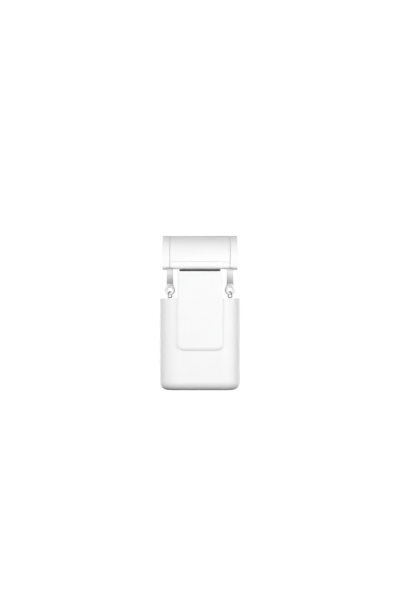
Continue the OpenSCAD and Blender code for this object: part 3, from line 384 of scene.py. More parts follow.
@dataclass(frozen=True)
class Finish:
    """One finish: its slot in the record, its constants, and how it varies over the surface."""

    name: str
    slot: str
    colour: Colour
    roughness: float
    surface: Surface = Surface.MOULDED
    metallic: float = 0.0
    ior: float = 1.46
    coat: float = 0.0
    transmission: float = 0.0
    glow: float = 0.0
    tone_spread: float = 0.03
    roughness_spread: float = 0.08
    patch_mm: float = 18.0
    grain_mm: float = 0.22
    grain_depth_mm: float = 0.004
    along: Axis = Axis.X
    dark: Colour = (0.02, 0.02, 0.02)
    # Painted shade: foot is the darker colour that the tone goes over to towards the bottom, between the
    # two heights of the next field.
    foot: Colour | None = None
    painted_shade_mm: Point2 = (0.0, 1.0)
    coat_roughness: float = 0.12
    bump_strength: float = 0.6
    line_gloss: float = 2.0
    pore_scale: float = 0.35
    pore_size: float = 0.3

    def material(self) -> bpy.types.Material:
        """Gives the material, building it at its first use."""
        found = bpy.data.materials.get(self.name)
        return found if found else self._build()

    def _build(self) -> bpy.types.Material:
        """Builds the material's nodes.

        Returns:
            The new material.
        """
        material = bpy.data.materials.new(self.name)
        material.use_nodes = True
        tree = Tree(material.node_tree)
        shader = material.node_tree.nodes["Principled BSDF"]
        tree.fill(shader, {
            "Metallic": self.metallic, "IOR": self.ior, "Coat Weight": self.coat,
            "Coat Roughness": self.coat_roughness, "Transmission Weight": self.transmission,
            "Emission Strength": self.glow,
        })
        place = tree.add("ShaderNodeTexCoord").outputs["Object"]
        drift = self._group(tree, "drift", place)
        tree.fill(drift, {
            "Colour": (*self.colour, 1.0), "Roughness": self.roughness, "Tone Spread": self.tone_spread,
            "Roughness Spread": self.roughness_spread, "Scale": 1.0 / (self.patch_mm * MM),
        })
        # Painted shade: the tone darkens towards the foot colour lower down, where a finish has one.
        if self.foot:
            self._paint_foot_shade(tree, place, drift)
        tree.join(drift.outputs["Colour"], shader.inputs["Base Color"])
        tree.join(drift.outputs["Roughness"], shader.inputs["Roughness"])
        height = self._relief(tree, shader, drift, place)
        bump = tree.add("ShaderNodeBump")
        tree.fill(bump, {"Strength": self.bump_strength, "Distance": self.grain_depth_mm * MM})
        tree.join(height, bump.inputs["Height"])
        tree.join(bump.outputs["Normal"], shader.inputs["Normal"])
        return material

    def _paint_foot_shade(self, tree: Tree, place: bpy.types.NodeSocket, drift: bpy.types.Node) -> None:
        """Paints shade into the tone: it goes over to the foot's darker colour towards the bottom, along
        the height.

        Args:
            tree: The material's tree.
            place: Object coordinates.
            drift: The drift group's node, which takes the tone.
        """
        split = tree.add("ShaderNodeSeparateXYZ")
        tree.join(place, split.inputs["Vector"])
        level = tree.add("ShaderNodeMapRange", interpolation_type="SMOOTHSTEP")
        tree.fill(level, {"From Min": self.painted_shade_mm[0] * MM, "From Max": self.painted_shade_mm[1] * MM})
        tree.join(split.outputs["Z"], level.inputs["Value"])
        mix = tree.add("ShaderNodeMix", data_type="RGBA")
        tree.join(level.outputs["Result"], mix.inputs["Factor"])
        mix.inputs["A"].default_value = (*self.foot, 1.0)
        mix.inputs["B"].default_value = (*self.colour, 1.0)
        tree.join(mix.outputs["Result"], drift.inputs["Colour"])

    def _group(self, tree: Tree, name: str, place: bpy.types.NodeSocket) -> bpy.types.Node:
        """Places one of the shared groups.

        Args:
            tree: The material's tree.
            name: The group's name.
            place: The coordinates that it reads.

        Returns:
            The group's node.
        """
        node = tree.add("ShaderNodeGroup", node_tree=Effects.get(name))
        tree.join(place, node.inputs["Vector"])
        return node

    def _relief(self, tree: Tree, shader: bpy.types.Node, drift: bpy.types.Node,
                place: bpy.types.NodeSocket) -> bpy.types.NodeSocket:
        """Adds what sets this kind of surface apart.

        Args:
            tree: The material's tree.
            shader: The Principled shader.
            drift: The drift group's node.
            place: Object coordinates.

        Returns:
            The height for the bump.
        """
        scale = 1.0 / (self.grain_mm * MM)
        if self.surface is Surface.DRAWN:
            turn = tree.add("ShaderNodeMapping")
            turn.inputs["Rotation"].default_value = self._line_turn()
            tree.join(place, turn.inputs["Vector"])
            lines = self._group(tree, "lines", turn.outputs["Vector"])
            tree.fill(lines, {"Scale": scale, "Spread": self.roughness_spread * self.line_gloss})
            tree.join(drift.outputs["Roughness"], lines.inputs["Roughness"])
            tree.join(lines.outputs["Roughness"], shader.inputs["Roughness"])
            return lines.outputs["Height"]
        grain = self._group(tree, "grain", place)
        grain.inputs["Scale"].default_value = scale
        if self.surface in (Surface.RUBBER, Surface.SINTERED, Surface.BOARD):
            pores = self._group(tree, "pores", place)
            tree.fill(pores, {"Scale": scale * self.pore_scale, "Size": self.pore_size})
            mix = tree.add("ShaderNodeMix", data_type="RGBA")
            tree.join(pores.outputs["Mask"], mix.inputs["Factor"])
            tree.join(drift.outputs["Colour"], mix.inputs["A"])
            mix.inputs["B"].default_value = (*self.dark, 1.0)
            tree.join(mix.outputs["Result"], shader.inputs["Base Color"])
            return tree.math("SUBTRACT", grain.outputs["Height"], pores.outputs["Mask"])
        return grain.outputs["Height"]

    def _line_turn(self) -> Corner:
        """Finds the turn that brings the finish's own axis to X, which the tool lines run across.

        Returns:
            The turn about each axis.
        """
        turns = {
            Axis.X: (0.0, 0.0, 0.0), Axis.Y: (0.0, 0.0, -QUARTER_TURN), Axis.Z: (0.0, QUARTER_TURN, 0.0),
        }
        return turns[self.along]


WHITE_CASE = Finish("white_case_satin", "white_case", (0.905, 0.905, 0.905), 0.40)
WHITE_HOOK = Finish("white_hook_satin", "white_hook", (0.92, 0.92, 0.92), 0.29, roughness_spread=0.06,
                    grain_mm=0.18)
WHITE_PANEL = Finish("white_panel_satin", "white_panel", (0.91, 0.91, 0.912), 0.38, grain_mm=0.16)
WHITE_RING = Finish("white_ring_smooth", "white_ring", (0.90, 0.90, 0.895), 0.28, grain_depth_mm=0.001)
# Painted shade: the link's tone darkens downwards to its foot colour, standing in for the shade on its bent
# lower end.
GREY_LINK = Finish("grey_link_nylon", "grey_link", (0.82, 0.82, 0.82), 0.42, grain_mm=0.15,
                   foot=(0.38, 0.38, 0.385), painted_shade_mm=(-22.0, -7.0))
DARK_NYLON = Finish("dark_nylon_moulded", "dark_nylon", (0.030, 0.031, 0.033), 0.46, tone_spread=0.15,
                    grain_mm=0.3, grain_depth_mm=0.008)
ROLLER_RUBBER = Finish("roller_rubber_matt", "roller_rubber", (0.028, 0.028, 0.029), 0.72, Surface.RUBBER,
                       tone_spread=0.25, grain_mm=0.12, grain_depth_mm=0.01, dark=(0.010, 0.010, 0.010))
HUB_PLASTIC = Finish("hub_plastic_moulded", "hub_plastic", (0.70, 0.70, 0.68), 0.4)
GEAR_ACETAL = Finish("gear_acetal_smooth", "gear_acetal", (0.80, 0.78, 0.70), 0.32, grain_depth_mm=0.001)
STEEL_X = Finish("steel_drawn_x", "steel", (0.60, 0.61, 0.63), 0.26, Surface.DRAWN, 1.0, grain_mm=0.06,
                 grain_depth_mm=0.002, along=Axis.X)
STEEL_Y = replace(STEEL_X, name="steel_drawn_y", along=Axis.Y)
STEEL_Z = replace(STEEL_X, name="steel_drawn_z", along=Axis.Z)
LINK_WIRE = Finish("link_wire_plated", "link_wire", (0.36, 0.37, 0.39), 0.24, Surface.DRAWN, 1.0,
                   grain_mm=0.08, grain_depth_mm=0.002, along=Axis.Z)
BRONZE = Finish("bronze_sintered", "bronze", (0.50, 0.33, 0.17), 0.42, Surface.SINTERED, 1.0, grain_mm=0.1,
                grain_depth_mm=0.01, dark=(0.16, 0.10, 0.05))
PINION_BRASS = Finish("pinion_brass_turned", "pinion_brass", (0.72, 0.52, 0.22), 0.24, Surface.DRAWN, 1.0,
                      grain_mm=0.07, grain_depth_mm=0.002, along=Axis.Y)
CELL_WRAP = Finish("cell_wrap_film", "cell_wrap", (0.030, 0.13, 0.36), 0.30, tone_spread=0.12, coat=0.3,
                   grain_mm=1.2, grain_depth_mm=0.03)
NICKEL = Finish("nickel_rolled", "nickel", (0.66, 0.64, 0.60), 0.22, Surface.DRAWN, 1.0, grain_mm=0.06,
                grain_depth_mm=0.002, along=Axis.X)
BOARD_GREEN = Finish("board_mask", "board", (0.012, 0.13, 0.055), 0.30, Surface.BOARD, tone_spread=0.3,
                     coat=0.25, patch_mm=3.0, grain_mm=0.5, grain_depth_mm=0.01, dark=(0.35, 0.24, 0.08))
CHIP_BLACK = Finish("chip_black_moulded", "chip_black", (0.018, 0.018, 0.019), 0.52, tone_spread=0.2,
                    grain_mm=0.1, grain_depth_mm=0.006)
CLEAR = Finish("clear_frosted", "clear", (0.93, 0.95, 0.96), 0.30, Surface.CLEAR, ior=1.49,
               transmission=0.85, grain_mm=0.1, grain_depth_mm=0.003)
FLOOR_PAINT = Finish("floor_paint", "", (0.9, 0.9, 0.9), 0.8, glow=1.0, patch_mm=400.0, tone_spread=0.01)


class Mesher:
    """Makes meshes out of sections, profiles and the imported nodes."""

    @staticmethod
    def finish(shape: bmesh.types.BMesh, name: str) -> bpy.types.Mesh:
        """Turns a shape into a smooth shaded mesh whose flat faces stay flat.

        Args:
            shape: The shape, which is freed.
            name: The mesh's name.

        Returns:
            The mesh.
        """
        mesh = bpy.data.meshes.new(name)
        shape.to_mesh(mesh)
        shape.free()
        for face in mesh.polygons:
            face.use_smooth = True
        mesh.set_sharp_from_angle(angle=SHARP_ANGLE)
        holder = bpy.data.objects.new(name + "_raw", mesh)
        bpy.context.scene.collection.objects.link(holder)
        weigh = holder.modifiers.new("weigh", "WEIGHTED_NORMAL")
        weigh.keep_sharp = True
        return Mesher.settle(holder, name)

    @classmethod
    def renewed(cls, mesh: bpy.types.Mesh, name: str) -> bpy.types.Mesh:
        """Works out a cut mesh's shading anew.

        Args:
            mesh: The cut mesh, which is removed.
            name: The new mesh's name.

        Returns:
            The new mesh.
        """
        worn = mesh.attributes.get("custom_normal")
        if worn:
            mesh.attributes.remove(worn)
        shape = bmesh.new()
        shape.from_mesh(mesh)
        bpy.data.meshes.remove(mesh)
        bmesh.ops.remove_doubles(shape, verts=shape.verts, dist=MERGE)
        for edge in shape.edges:
            edge.smooth = True
        return cls.finish(shape, name)

    @staticmethod
    def settle(holder: bpy.types.Object, name: str) -> bpy.types.Mesh:
        """Evaluates an object with its modifiers into a plain mesh, and removes the object.

        Args:
            holder: The object.
            name: The new mesh's name.

        Returns:
            The plain mesh.
        """
        bpy.context.view_layer.update()
        shown = holder.evaluated_get(bpy.context.evaluated_depsgraph_get())
        mesh = bpy.data.meshes.new_from_object(shown)
        source = holder.data
        bpy.data.objects.remove(holder)
        bpy.data.meshes.remove(source)
        mesh.name = name
        return mesh

    @staticmethod
    def merged(node: str) -> bmesh.types.BMesh:
        """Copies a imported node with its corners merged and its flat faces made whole.

        Args:
            node: The node's name.

        Returns:
            The copy.
        """
        shape = bmesh.new()
        shape.from_mesh(bpy.data.objects[FRAME_NODES[node]].data)
        bmesh.ops.remove_doubles(shape, verts=shape.verts, dist=MERGE)
        bmesh.ops.dissolve_limit(shape, angle_limit=FLAT_ANGLE, verts=shape.verts, edges=shape.edges)
        return shape

    @classmethod
    def softened(cls, node: str, edge_mm: float, segments: int = 3, hollows: bool = True) -> bpy.types.Mesh:
        """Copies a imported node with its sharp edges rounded.

        Args:
            node: The node's name.
            edge_mm: Width of the rounding.
            segments: Steps of the rounding.
            hollows: True where inner corners are rounded too.

        Returns:
            The mesh.
        """
        shape = cls.merged(node)
        shape.normal_update()
        edges = [e for e in shape.edges if len(e.link_faces) == 2 and e.calc_face_angle(0) > EDGE_ANGLE]
        if not hollows:
            edges = [e for e in edges if e.is_convex]
        bmesh.ops.bevel(shape, geom=edges, offset=edge_mm * MM, segments=segments, profile=0.5,
                        affect="EDGES", clamp_overlap=False)
        cls.refill(shape)
        return cls.finish(shape, node + "_soft")

    @classmethod
    def refill(cls, shape: bmesh.types.BMesh) -> None:
        """Fills each flat stretch of faces anew with triangles, its holes left open.

        Args:
            shape: The shape.
        """
        shape.normal_update()
        waiting = {face for face in shape.faces if len(face.verts) > QUAD}
        while waiting:
            seed = waiting.pop()
            stretch = [seed]
            for face in stretch:
                for edge in face.edges:
                    for other in edge.link_faces:
                        if other not in stretch and other.normal.angle(seed.normal, 1.0) < FLAT_ANGLE:
                            stretch.append(other)
            waiting.difference_update(stretch)
            cls._refill_stretch(shape, stretch)
        bmesh.ops.delete(shape, geom=[e for e in shape.edges if not e.link_faces], context="EDGES")

    @staticmethod
    def _refill_stretch(shape: bmesh.types.BMesh, stretch: Sequence[bmesh.types.BMFace]) -> None:
        """Fills one flat stretch anew.

        Args:
            shape: The shape.
            stretch: Its faces.
        """
        normal = max(stretch, key=lambda face: face.calc_area()).normal.copy()
        inside = set(stretch)
        rim = [e for face in stretch for e in face.edges if sum(f in inside for f in e.link_faces) == 1]
        corners = list(dict.fromkeys(vert for edge in rim for vert in edge.verts))
        place = {vert: k for k, vert in enumerate(corners)}
        across = normal.orthogonal().normalized()
        up = normal.cross(across)
        flat = [Vector((vert.co.dot(across), vert.co.dot(up))) / MM for vert in corners]
        lines = [(place[e.verts[0]], place[e.verts[1]]) for e in rim]
        spots, _, triangles, origins, _, _ = delaunay_2d_cdt(flat, lines, [], 0, FILL_TOLERANCE)
        if any(not origin for origin in origins):
            LOG.warning("a flat stretch of %d corners crosses itself and keeps its faces", len(corners))
            return
        bmesh.ops.delete(shape, geom=list(stretch), context="FACES_ONLY")
        for triangle in triangles:
            a, b, c = (spots[k] for k in triangle)
            if abs((b - a).cross(c - a)) < SLIVER:
                continue
            centre = (a + b + c) / 3
            crossings = 0
            for first, last in lines:
                p, q = flat[first], flat[last]
                if (p.y > centre.y) != (q.y > centre.y):
                    crossings += centre.x < p.x + (q.x - p.x) * (centre.y - p.y) / (q.y - p.y)
            if crossings % 2:
                face = shape.faces.new([corners[origins[k][0]] for k in triangle])
                face.normal_update()
                if face.normal.dot(normal) < 0:
                    face.normal_flip()

    @staticmethod
    def islands(node: str) -> list[tuple[Vector, Vector]]:
        """Gives the box of each separate solid of a node.

        Args:
            node: The node's name.

        Returns:
            The lowest and highest corner of each solid, in order of X, then Y, then Z.
        """
        shape = Mesher.merged(node)
        left = set(shape.verts)
        boxes = []
        while left:
            start = left.pop()
            found = [start]
            for vert in found:
                for edge in vert.link_edges:
                    other = edge.other_vert(vert)
                    if other in left:
                        left.remove(other)
                        found.append(other)
            low = Vector([min(v.co[k] for v in found) for k in range(3)])
            high = Vector([max(v.co[k] for v in found) for k in range(3)])
            boxes.append((low, high))
        shape.free()
        return sorted(boxes, key=lambda box: tuple(round(value, PLACE_DIGITS) for value in box[0]))

    @staticmethod
    def filleted(corners: Sequence[Corner], steps: int = 4, closed: bool = False) -> list[Point2]:
        """Rounds the corners of a drawn line.

        Args:
            corners: Two coordinates and the rounding of each corner.
            steps: Steps of each rounding.
            closed: True where the line's last corner goes back to the first.

        Returns:
            The points of the line.
        """
        count = len(corners)
        points: list[Point2] = []
        for place, (a, b, bite) in enumerate(corners):
            here = Vector((a, b))
            end = not closed and place in (0, count - 1)
            if bite <= 0 or end:
                points.append((a, b))
                continue
            before = Vector(corners[place - 1][:2])
            after = Vector(corners[(place + 1) % count][:2])
            first = here + (before - here).normalized() * bite
            last = here + (after - here).normalized() * bite
            for step in range(steps + 1):
                t = step / steps
                spot = first * (1 - t) ** 2 + here * 2 * t * (1 - t) + last * t ** 2
                points.append((spot.x, spot.y))
        return points

    @classmethod
    def revolved(cls, profile: Sequence[Point2], centre: Vector, axis: Axis, name: str, steps: int = 64,
                 closed: bool = False) -> bpy.types.Mesh:
        """Turns a profile about an axis.

        Args:
            profile: Radius and height of each point, in millimetres; a radius of 0 is a pole.
            centre: The point on the axis where the height is 0, in metres.
            axis: The axis.
            name: The mesh's name.
            steps: Steps of a full turn.
            closed: True where the profile's last point goes back to the first.

        Returns:
            The mesh.
        """
        shape = bmesh.new()
        rings = []
        for radius, height in profile:
            count = 1 if radius == 0 else steps
            ring = []
            for step in range(count):
                turn = 2 * math.pi * step / steps
                spot = axis.place(height, radius * math.cos(turn), radius * math.sin(turn)) * MM
                ring.append(shape.verts.new(centre + spot))
            rings.append(ring)
        cls.skin(shape, rings, closed)
        return cls.finish(shape, name)

    @staticmethod
    def skin(shape: bmesh.types.BMesh, rings: Sequence[Sequence[bmesh.types.BMVert]], closed: bool) -> None:
        """Joins rings of corners with faces, and points them outwards.

        Args:
            shape: The shape that holds the corners.
            rings: The rings, each of the same count or of one corner.
            closed: True where the last ring joins the first.
        """
        pairs = list(zip(rings, rings[1:]))
        if closed:
            pairs.append((rings[-1], rings[0]))
        for lower, upper in pairs:
            count = max(len(lower), len(upper))
            if count == 1:
                continue
            for k in range(count):
                after = (k + 1) % count
                quad = [lower[k % len(lower)], lower[after % len(lower)], upper[after % len(upper)],
                        upper[k % len(upper)]]
                shape.faces.new(list(dict.fromkeys(quad)))
        bmesh.ops.recalc_face_normals(shape, faces=shape.faces)

    @classmethod
    def stacked(cls, outlines: Sequence[Sequence[Vector]], name: str) -> bpy.types.Mesh:
        """Skins a stack of outlines and closes its two ends.

        Args:
            outlines: The outlines, each with the same count of points, in metres.
            name: The mesh's name.

        Returns:
            The mesh.
        """
        shape = bmesh.new()
        rings = [[shape.verts.new(point) for point in outline] for outline in outlines]
        shape.faces.new(rings[0])
        shape.faces.new(rings[-1])
        cls.skin(shape, rings, closed=False)
        return cls.finish(shape, name)


FRAME_NODES: dict[str, str] = {}


class Bench:
    """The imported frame, and what sets a piece in its place on it."""

    def __init__(self, frame: dict) -> None:
        """Notes each node's body and object.
        """
        self.nodes = frame["nodes"]
        self.body_of = {}
        for body, nodes in frame["record"]["behaviour"]["bodies"].items():
            for node in nodes:
                self.body_of[node] = body
        for node, obj in self.nodes.items():
            FRAME_NODES[node] = obj.name

    def keep(self, node: str, finish: Finish) -> None:
        """Leaves a node's own shape in place and gives it a finish.

        Args:
            node: The node's name.
            finish: Its finish.
        """
        obj = self.nodes[node]
        if not obj.material_slots:
            obj.data.materials.append(None)
        for place in obj.material_slots:
            place.material = finish.material()
        LOG.info("%s keeps its shape, in %s", node, finish.name)

    def place(self, mesh: bpy.types.Mesh, name: str, finish: Finish, body: str,
              stands_for: Sequence[str] = ()) -> bpy.types.Object:
        """Sets a piece on its body.

        Args:
            mesh: The piece's mesh, in the frame's metres.
            name: The piece's name.
            finish: Its finish.
            body: The body that it rides on.
            stands_for: The nodes that it replaces.

        Returns:
            The piece's object.
        """
        mesh.materials.clear()
        mesh.materials.append(finish.material())
        obj = bpy.data.objects.new(name, mesh)
        bpy.context.scene.collection.objects.link(obj)
        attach(obj, body)
        if stands_for:
            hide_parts(*stands_for)
        LOG.info("%s rides on %s, in %s, %d faces", name, body, finish.name, len(mesh.polygons))
        return obj

    def soften(self, node: str, finish: Finish, edge_mm: float, segments: int = 3,
               hollows: bool = True) -> bpy.types.Object:
        """Replaces a node with a copy whose edges are rounded.

        Args:
            node: The node's name.
            finish: Its finish.
            edge_mm: Width of the rounding.
            segments: Steps of the rounding.
            hollows: True where inner corners are rounded too.

        Returns:
            The piece's object.
        """
        mesh = Mesher.softened(node, edge_mm, segments, hollows)
        return self.place(mesh, node + "_soft", finish, self.body_of[node], [node])


class Patterns:
    """Geometry Nodes trees for what repeats or follows a path, each built once."""

    made: dict[str, Pattern] = {}
    wire_sides = 14
    wire_sharp_angle = math.radians(60)

    @classmethod
    def _tree(cls, name: str, inputs: dict[str, Socket],
              wire: Callable[[Tree, bpy.types.Node], bpy.types.NodeSocket]) -> Pattern:
        """Gives a tree, building it at its first use.

        Args:
            name: The tree's name.
            inputs: The kind of each input after the geometry, by the input's name.
            wire: Wires the tree from its input node to the geometry that it makes.

        Returns:
            The tree, and the identifier of each named input.
        """
        if name not in cls.made:
            group = bpy.data.node_groups.new(name, "GeometryNodeTree")
            tree = Tree(group)
            tree.socket("Geometry", Socket.SHAPE)
            keys = {label: tree.socket(label, kind) for label, kind in inputs.items()}
            keys["Material"] = tree.socket("Material", Socket.MATERIAL)
            tree.socket("Geometry", Socket.SHAPE, output=True)
            start = tree.add("NodeGroupInput")
            end = tree.add("NodeGroupOutput")
            real = tree.add("GeometryNodeRealizeInstances")
            paint = tree.add("GeometryNodeSetMaterial")
            tree.join(wire(tree, start), real.inputs["Geometry"])
            tree.join(real.outputs["Geometry"], paint.inputs["Geometry"])
            tree.join(start.outputs["Material"], paint.inputs["Material"])
            tree.join(paint.outputs["Geometry"], end.inputs["Geometry"])
            cls.made[name] = (group, keys)
        return cls.made[name]

    @staticmethod
    def _run(mesh: bpy.types.Mesh, found: Pattern, values: dict[str, object], name: str) -> bpy.types.Mesh:
        """Runs a tree on a mesh and gives the result as a plain mesh.

        Args:
            mesh: What the tree starts from.
            found: The tree and its input identifiers.
            values: A value for each named input.
            name: The new mesh's name.

        Returns:
            The plain mesh.
        """
        group, keys = found
        holder = bpy.data.objects.new(name + "_seed", mesh)
        bpy.context.scene.collection.objects.link(holder)
        modifier = holder.modifiers.new("pattern", "NODES")
        modifier.node_group = group
        for label, value in values.items():
            modifier[keys[label]] = value
        return Mesher.settle(holder, name)

    @classmethod
    def ring(cls, mesh: bpy.types.Mesh, count: int, centre: Vector, axis: Axis, finish: Finish,
             name: str) -> bpy.types.Mesh:
        """Repeats a mesh around an axis.

        Args:
            mesh: The first copy, modelled about the origin.
            count: How many copies.
            centre: The point on the axis that the origin goes to.
            axis: The axis.
            finish: The finish of the copies.
            name: The new mesh's name.

        Returns:
            The plain mesh.
        """
        def wire(tree: Tree, start: bpy.types.Node) -> bpy.types.NodeSocket:
            """Wires points at the centre, each with its own turn.

            Args:
                tree: The tree.
                start: The tree's input node.

            Returns:
                The instances.
            """
            points = tree.add("GeometryNodePoints")
            tree.join(start.outputs["Count"], points.inputs["Count"])
            tree.join(start.outputs["Centre"], points.inputs["Position"])
            index = tree.add("GeometryNodeInputIndex").outputs["Index"]
            step = tree.math("DIVIDE", 2 * math.pi, start.outputs["Count"])
            turn = tree.add("FunctionNodeAxisAngleToRotation")
            tree.join(start.outputs["Axis"], turn.inputs["Axis"])
            tree.join(tree.math("MULTIPLY", index, step), turn.inputs["Angle"])
            copies = tree.add("GeometryNodeInstanceOnPoints")
            tree.join(points.outputs[0], copies.inputs["Points"])
            tree.join(start.outputs["Geometry"], copies.inputs["Instance"])
            tree.join(turn.outputs["Rotation"], copies.inputs["Rotation"])
            return copies.outputs["Instances"]

        inputs = {"Count": Socket.COUNT, "Centre": Socket.VECTOR, "Axis": Socket.VECTOR}
        values = {"Count": count, "Centre": centre, "Axis": axis.unit(), "Material": finish.material()}
        return cls._run(mesh, cls._tree("ring_of_copies", inputs, wire), values, name)

    @classmethod
    def row(cls, mesh: bpy.types.Mesh, count: int, start_at: Vector, step: Vector, finish: Finish,
            name: str) -> bpy.types.Mesh:
        """Repeats a mesh along a line.

        Args:
            mesh: The first copy, modelled about the origin.
            count: How many copies.
            start_at: Where the first copy's origin goes.
            step: From one copy to the next.
            finish: The finish of the copies.
            name: The new mesh's name.

        Returns:
            The plain mesh.
        """
        def wire(tree: Tree, start: bpy.types.Node) -> bpy.types.NodeSocket:
            """Wires a line of points with a copy on each.

            Args:
                tree: The tree.
                start: The tree's input node.

            Returns:
                The instances.
            """
            line = tree.add("GeometryNodeMeshLine", mode="OFFSET")
            tree.join(start.outputs["Count"], line.inputs["Count"])
            tree.join(start.outputs["Start"], line.inputs["Start Location"])
            tree.join(start.outputs["Step"], line.inputs["Offset"])
            copies = tree.add("GeometryNodeInstanceOnPoints")
            tree.join(line.outputs["Mesh"], copies.inputs["Points"])
            tree.join(start.outputs["Geometry"], copies.inputs["Instance"])
            return copies.outputs["Instances"]

        inputs = {"Count": Socket.COUNT, "Start": Socket.VECTOR, "Step": Socket.VECTOR}
        values = {"Count": count, "Start": start_at, "Step": step, "Material": finish.material()}
        return cls._run(mesh, cls._tree("row_of_copies", inputs, wire), values, name)

    @classmethod
    def wire(cls, path: Sequence[Vector], diameter_mm: float, closed: bool, finish: Finish,
             name: str) -> bpy.types.Mesh:
        """Makes a round wire along a path.

        Args:
            path: The points of the wire's middle line, in metres.
            diameter_mm: The wire's diameter.
            closed: True where the path goes back to its start.
            finish: The wire's finish.
            name: The new mesh's name.

        Returns:
            The plain mesh.
        """
        def wire(tree: Tree, start: bpy.types.Node) -> bpy.types.NodeSocket:
            """Wires the line to a tube.

            Args:
                tree: The tree.
                start: The tree's input node.

            Returns:
                The tube.
            """
            line = tree.add("GeometryNodeMeshToCurve")
            tree.join(start.outputs["Geometry"], line.inputs["Mesh"])
            around = tree.add("GeometryNodeCurvePrimitiveCircle")
            tree.join(start.outputs["Sides"], around.inputs["Resolution"])
            tree.join(start.outputs["Radius"], around.inputs["Radius"])
            tube = tree.add("GeometryNodeCurveToMesh")
            tube.inputs["Fill Caps"].default_value = True
            tree.join(line.outputs["Curve"], tube.inputs["Curve"])
            tree.join(around.outputs["Curve"], tube.inputs["Profile Curve"])
            smooth = tree.add("GeometryNodeSetShadeSmooth")
            tree.join(tube.outputs["Mesh"], smooth.inputs["Geometry"])
            return smooth.outputs["Geometry"]

        line = bpy.data.meshes.new(name + "_line")
        edges = [(k, k + 1) for k in range(len(path) - 1)]
        if closed:
            edges.append((len(path) - 1, 0))
        line.from_pydata(path, edges, [])
        inputs = {"Sides": Socket.COUNT, "Radius": Socket.NUMBER}
        values = {"Sides": cls.wire_sides, "Radius": diameter_mm * MM / 2, "Material": finish.material()}
        mesh = cls._run(line, cls._tree("round_wire", inputs, wire), values, name)
        mesh.set_sharp_from_angle(angle=cls.wire_sharp_angle)
        return mesh

    @classmethod
    def screws(cls, places: Sequence[Vector], ways: Sequence[Vector], screw: bpy.types.Mesh, seed: int,
               finish: Finish, name: str) -> bpy.types.Mesh:
        """Sets a screw at each place, its head along its way, each turned by chance about itself.

        Args:
            places: Where the heads rest, in metres.
            ways: The direction of each head.
            screw: The screw, its head along Z and resting at the origin.
            seed: The seed of the turns.
            finish: The screws' finish.
            name: The new mesh's name.

        Returns:
            The plain mesh.
        """
        def wire(tree: Tree, start: bpy.types.Node) -> bpy.types.NodeSocket:
            """Wires a copy to each point, along the point's own way.

            Args:
                tree: The tree.
                start: The tree's input node.

            Returns:
                The instances.
            """
            way = tree.add("GeometryNodeInputNamedAttribute", data_type="FLOAT_VECTOR")
            way.inputs["Name"].default_value = "way"
            aim = tree.add("FunctionNodeAlignRotationToVector", axis="Z")
            tree.join(way.outputs["Attribute"], aim.inputs["Vector"])
            chance = tree.add("FunctionNodeRandomValue", data_type="FLOAT")
            # Input 3 and output 1 are the highest value and the result for plain numbers.
            chance.inputs[3].default_value = QUARTER_TURN
            tree.join(start.outputs["Seed"], chance.inputs["Seed"])
            spin = tree.add("FunctionNodeAxisAngleToRotation")
            spin.inputs["Axis"].default_value = (0.0, 0.0, 1.0)
            tree.join(chance.outputs[1], spin.inputs["Angle"])
            turn = tree.add("FunctionNodeRotateRotation", rotation_space="LOCAL")
            tree.join(aim.outputs["Rotation"], turn.inputs["Rotation"])
            tree.join(spin.outputs["Rotation"], turn.inputs["Rotate By"])
            whole = tree.add("GeometryNodeObjectInfo", transform_space="ORIGINAL")
            tree.join(start.outputs["Screw"], whole.inputs["Object"])
            copies = tree.add("GeometryNodeInstanceOnPoints")
            tree.join(start.outputs["Geometry"], copies.inputs["Points"])
            tree.join(whole.outputs["Geometry"], copies.inputs["Instance"])
            tree.join(turn.outputs["Rotation"], copies.inputs["Rotation"])
            return copies.outputs["Instances"]

        spots = bpy.data.meshes.new(name + "_spots")
        spots.from_pydata(places, [], [])
        marks = spots.attributes.new("way", "FLOAT_VECTOR", "POINT")
        for mark, way in zip(marks.data, ways):
            mark.vector = way
        holder = bpy.data.objects.new(name + "_one", screw)
        inputs = {"Seed": Socket.COUNT, "Screw": Socket.OBJECT}
        values = {"Seed": seed, "Screw": holder, "Material": finish.material()}
        mesh = cls._run(spots, cls._tree("set_of_screws", inputs, wire), values, name)
        bpy.data.objects.remove(holder)
        bpy.data.meshes.remove(screw)
        return mesh


